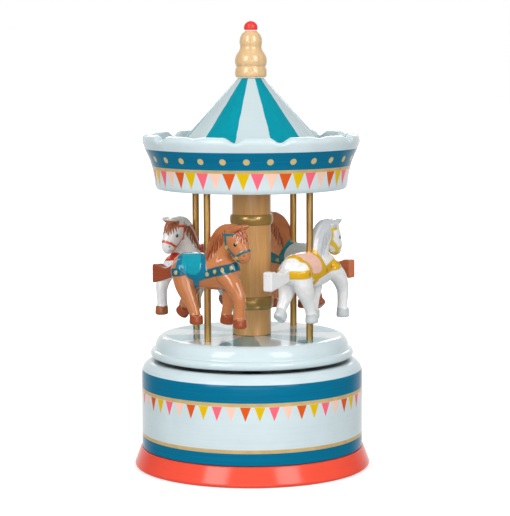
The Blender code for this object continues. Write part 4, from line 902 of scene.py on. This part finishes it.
def canopy():
    """The canopy with its waved rim."""
    outside = swept([(44.3, 131.2), (45.0, 132.8), (45.4, 136.3), (46.1, 140.1), (47.1, 143.8),
                     (48.5, 147.2), (49.7, 149.9), (50.4, 152.0), (50.8, 153.9), (50.5, 155.3),
                     (49.6, 156.2), (48.2, 156.6), (47.1, 156.3), (46.4, 155.0), (46.0, 152.6),
                     (45.4, 150.9), (44.2, 150.4)])
    outline = [(0.0, 0.1310), (0.0300, 0.1310), (0.0436, 0.1310), *outside,
               (0.0300, 0.1504), (0.0, 0.1504)]
    bm = lathe(outline, 360)
    cuts = [(FIRST_CUT + 360 / CUT_COUNT * i, SHALLOW_DEPTH if i in SHALLOW_CUTS else CUT_DEPTH)
            for i in range(CUT_COUNT)]
    for vert in bm.verts:
        rise = max(0.0, (vert.co.z - RIM_FOOT) / RIM_RISE)
        if rise and math.hypot(vert.co.x, vert.co.y) > RIM_INSIDE:
            turn = math.degrees(math.atan2(vert.co.y, vert.co.x))
            for azimuth, depth in cuts:
                off = abs((turn - azimuth + 180) % 360 - 180)
                if off < CUT_HALF_WIDTH:
                    shape = math.cos(off / CUT_HALF_WIDTH * math.pi / 2) ** 1.7
                    vert.co.z -= 0.001 * depth * shape * rise ** 1.5
    paint, ground = gloss_paint("canopy_gloss", PALE_BLUE, specular=0.30)
    outer = paint.above(hypotenuse(paint, paint.x, paint.y), 0.0440, 0.0002)
    colour = bunting(paint, ground, 45, 257.5, 0.1405, 0.1328, 0.95)
    band = paint.math("MULTIPLY", outer, paint.between(paint.z, 0.1419, 0.1499, BRUSH_EDGE))
    colour = paint.mix(band, colour, brushed_teal(paint))
    colour = paint.mix(paint.between(paint.z, 0.1405, 0.1419, BRUSH_EDGE), colour, gold_line(paint))
    spots = paint.math("FRACT", round_count(paint, SPOT_COUNT, 267.5))
    across = paint.math("MULTIPLY", paint.math("SUBTRACT", spots, 0.5),
                        2 * math.pi * BAND_RADIUS / SPOT_COUNT)
    rise = paint.math("MULTIPLY", paint.math("SUBTRACT", paint.z, SPOT_HEIGHT), 1.1)
    outside_spot = paint.above(hypotenuse(paint, across, rise), SPOT_RADIUS, 0.0001)
    spot = paint.math("MULTIPLY", band, paint.math("SUBTRACT", 1.0, outside_spot))
    colour = paint.mix(spot, colour, linear(214, 192, 132))
    material = paint.feed(base_color=colour)
    settle("waved_canopy", bm, material, "turntable", "canopy_paint", "canopy")


canopy()


# Roof cone: turned beech, painted in six teal and six pale stripes that meet at the top. It is
# glued into the dish of the canopy.

def roof_cone():
    """The striped cone."""
    outline = rounded([(0, 150.7, 0), (34.6, 150.7, 0.5), (7.3, 180.9, 0.8), (6.2, 182.3, 0.4),
                       (0, 182.3, 0)])
    # The pale ground is the drum's pale blue painted a little darker, as painted shade, to make up for
    # the extra light the sloping cone takes from above.
    paint, ground = gloss_paint("roof_gloss", linear(198, 214, 217), 0.14, 0.03, 0.3)
    sixths = paint.math("FRACT", round_count(paint, 6, 242))
    hand = paint.ramp(paint.noise((160, 160, 160), 2.0), 0.3, 0.7, -0.006, 0.006)
    stripe = paint.between(paint.math("ADD", sixths, hand), 0.25, 0.75, 0.003)
    strokes = paint.noise((300, 300, 110), 4.0, 0.6)
    colour = paint.mix(stripe, ground, paint.shade(linear(0, 148, 165), strokes, 0.08))
    material = paint.feed(base_color=colour)
    settle("striped_roof", lathe(outline, 240), material, "turntable", "roof_paint", "roof_cone")


roof_cone()


# Finial: pale hardwood turned with a base bead, a bulb and a smaller bulb, clear lacquered. Its
# tenon is glued into the cone.

def finial():
    """The turned finial."""
    outside = swept([(6.8, 182.6), (7.35, 183.4), (7.45, 184.8), (7.3, 186.3), (6.85, 187.6),
                     (7.3, 188.7), (7.5, 190.4), (7.1, 192.4), (6.1, 194.3), (5.2, 195.8),
                     (5.0, 196.9), (5.25, 198.2), (5.3, 199.6), (4.9, 201.4), (4.0, 203.1),
                     (2.9, 204.2)])
    outline = [(0.0, 0.1826), *outside, (0.0, 0.2042)]
    wood = Finish("clear_maple", 0.22, coat=0.8)
    rings = wood.noise((1100, 260, 60), 4.0, 0.6)
    fleck = wood.noise((3000, 3000, 500), 2.0)
    colour = wood.mix(wood.ramp(rings, 0.3, 0.7), linear(228, 188, 136), linear(238, 204, 154))
    wood.wear((fleck, 0.15))
    material = wood.feed(base_color=wood.shade(colour, fleck, 0.04))
    settle("turned_finial", lathe(outline, 96), material, "turntable", "light_wood", "finial")


finial()


# Finial ball: a small turned bead dipped in the base ring's coral red and pinned on top.

def finial_ball():
    """The red bead."""
    centre, radius = 205.6, 3.2
    cap = [(radius * math.cos(a), centre + radius * math.sin(a), 0)
           for a in np.radians(np.linspace(-20, 90, 20))]
    outline = [(0.0, 0.2045)] + [(max(0.0, r) * 0.001, z * 0.001) for r, z, _ in cap]
    paint, colour = gloss_paint("ball_gloss", linear(240, 66, 60))
    material = paint.feed(base_color=colour)
    settle("red_bead", lathe(outline, 64), material, "turntable", "red_paint", "finial_ball")


finial_ball()
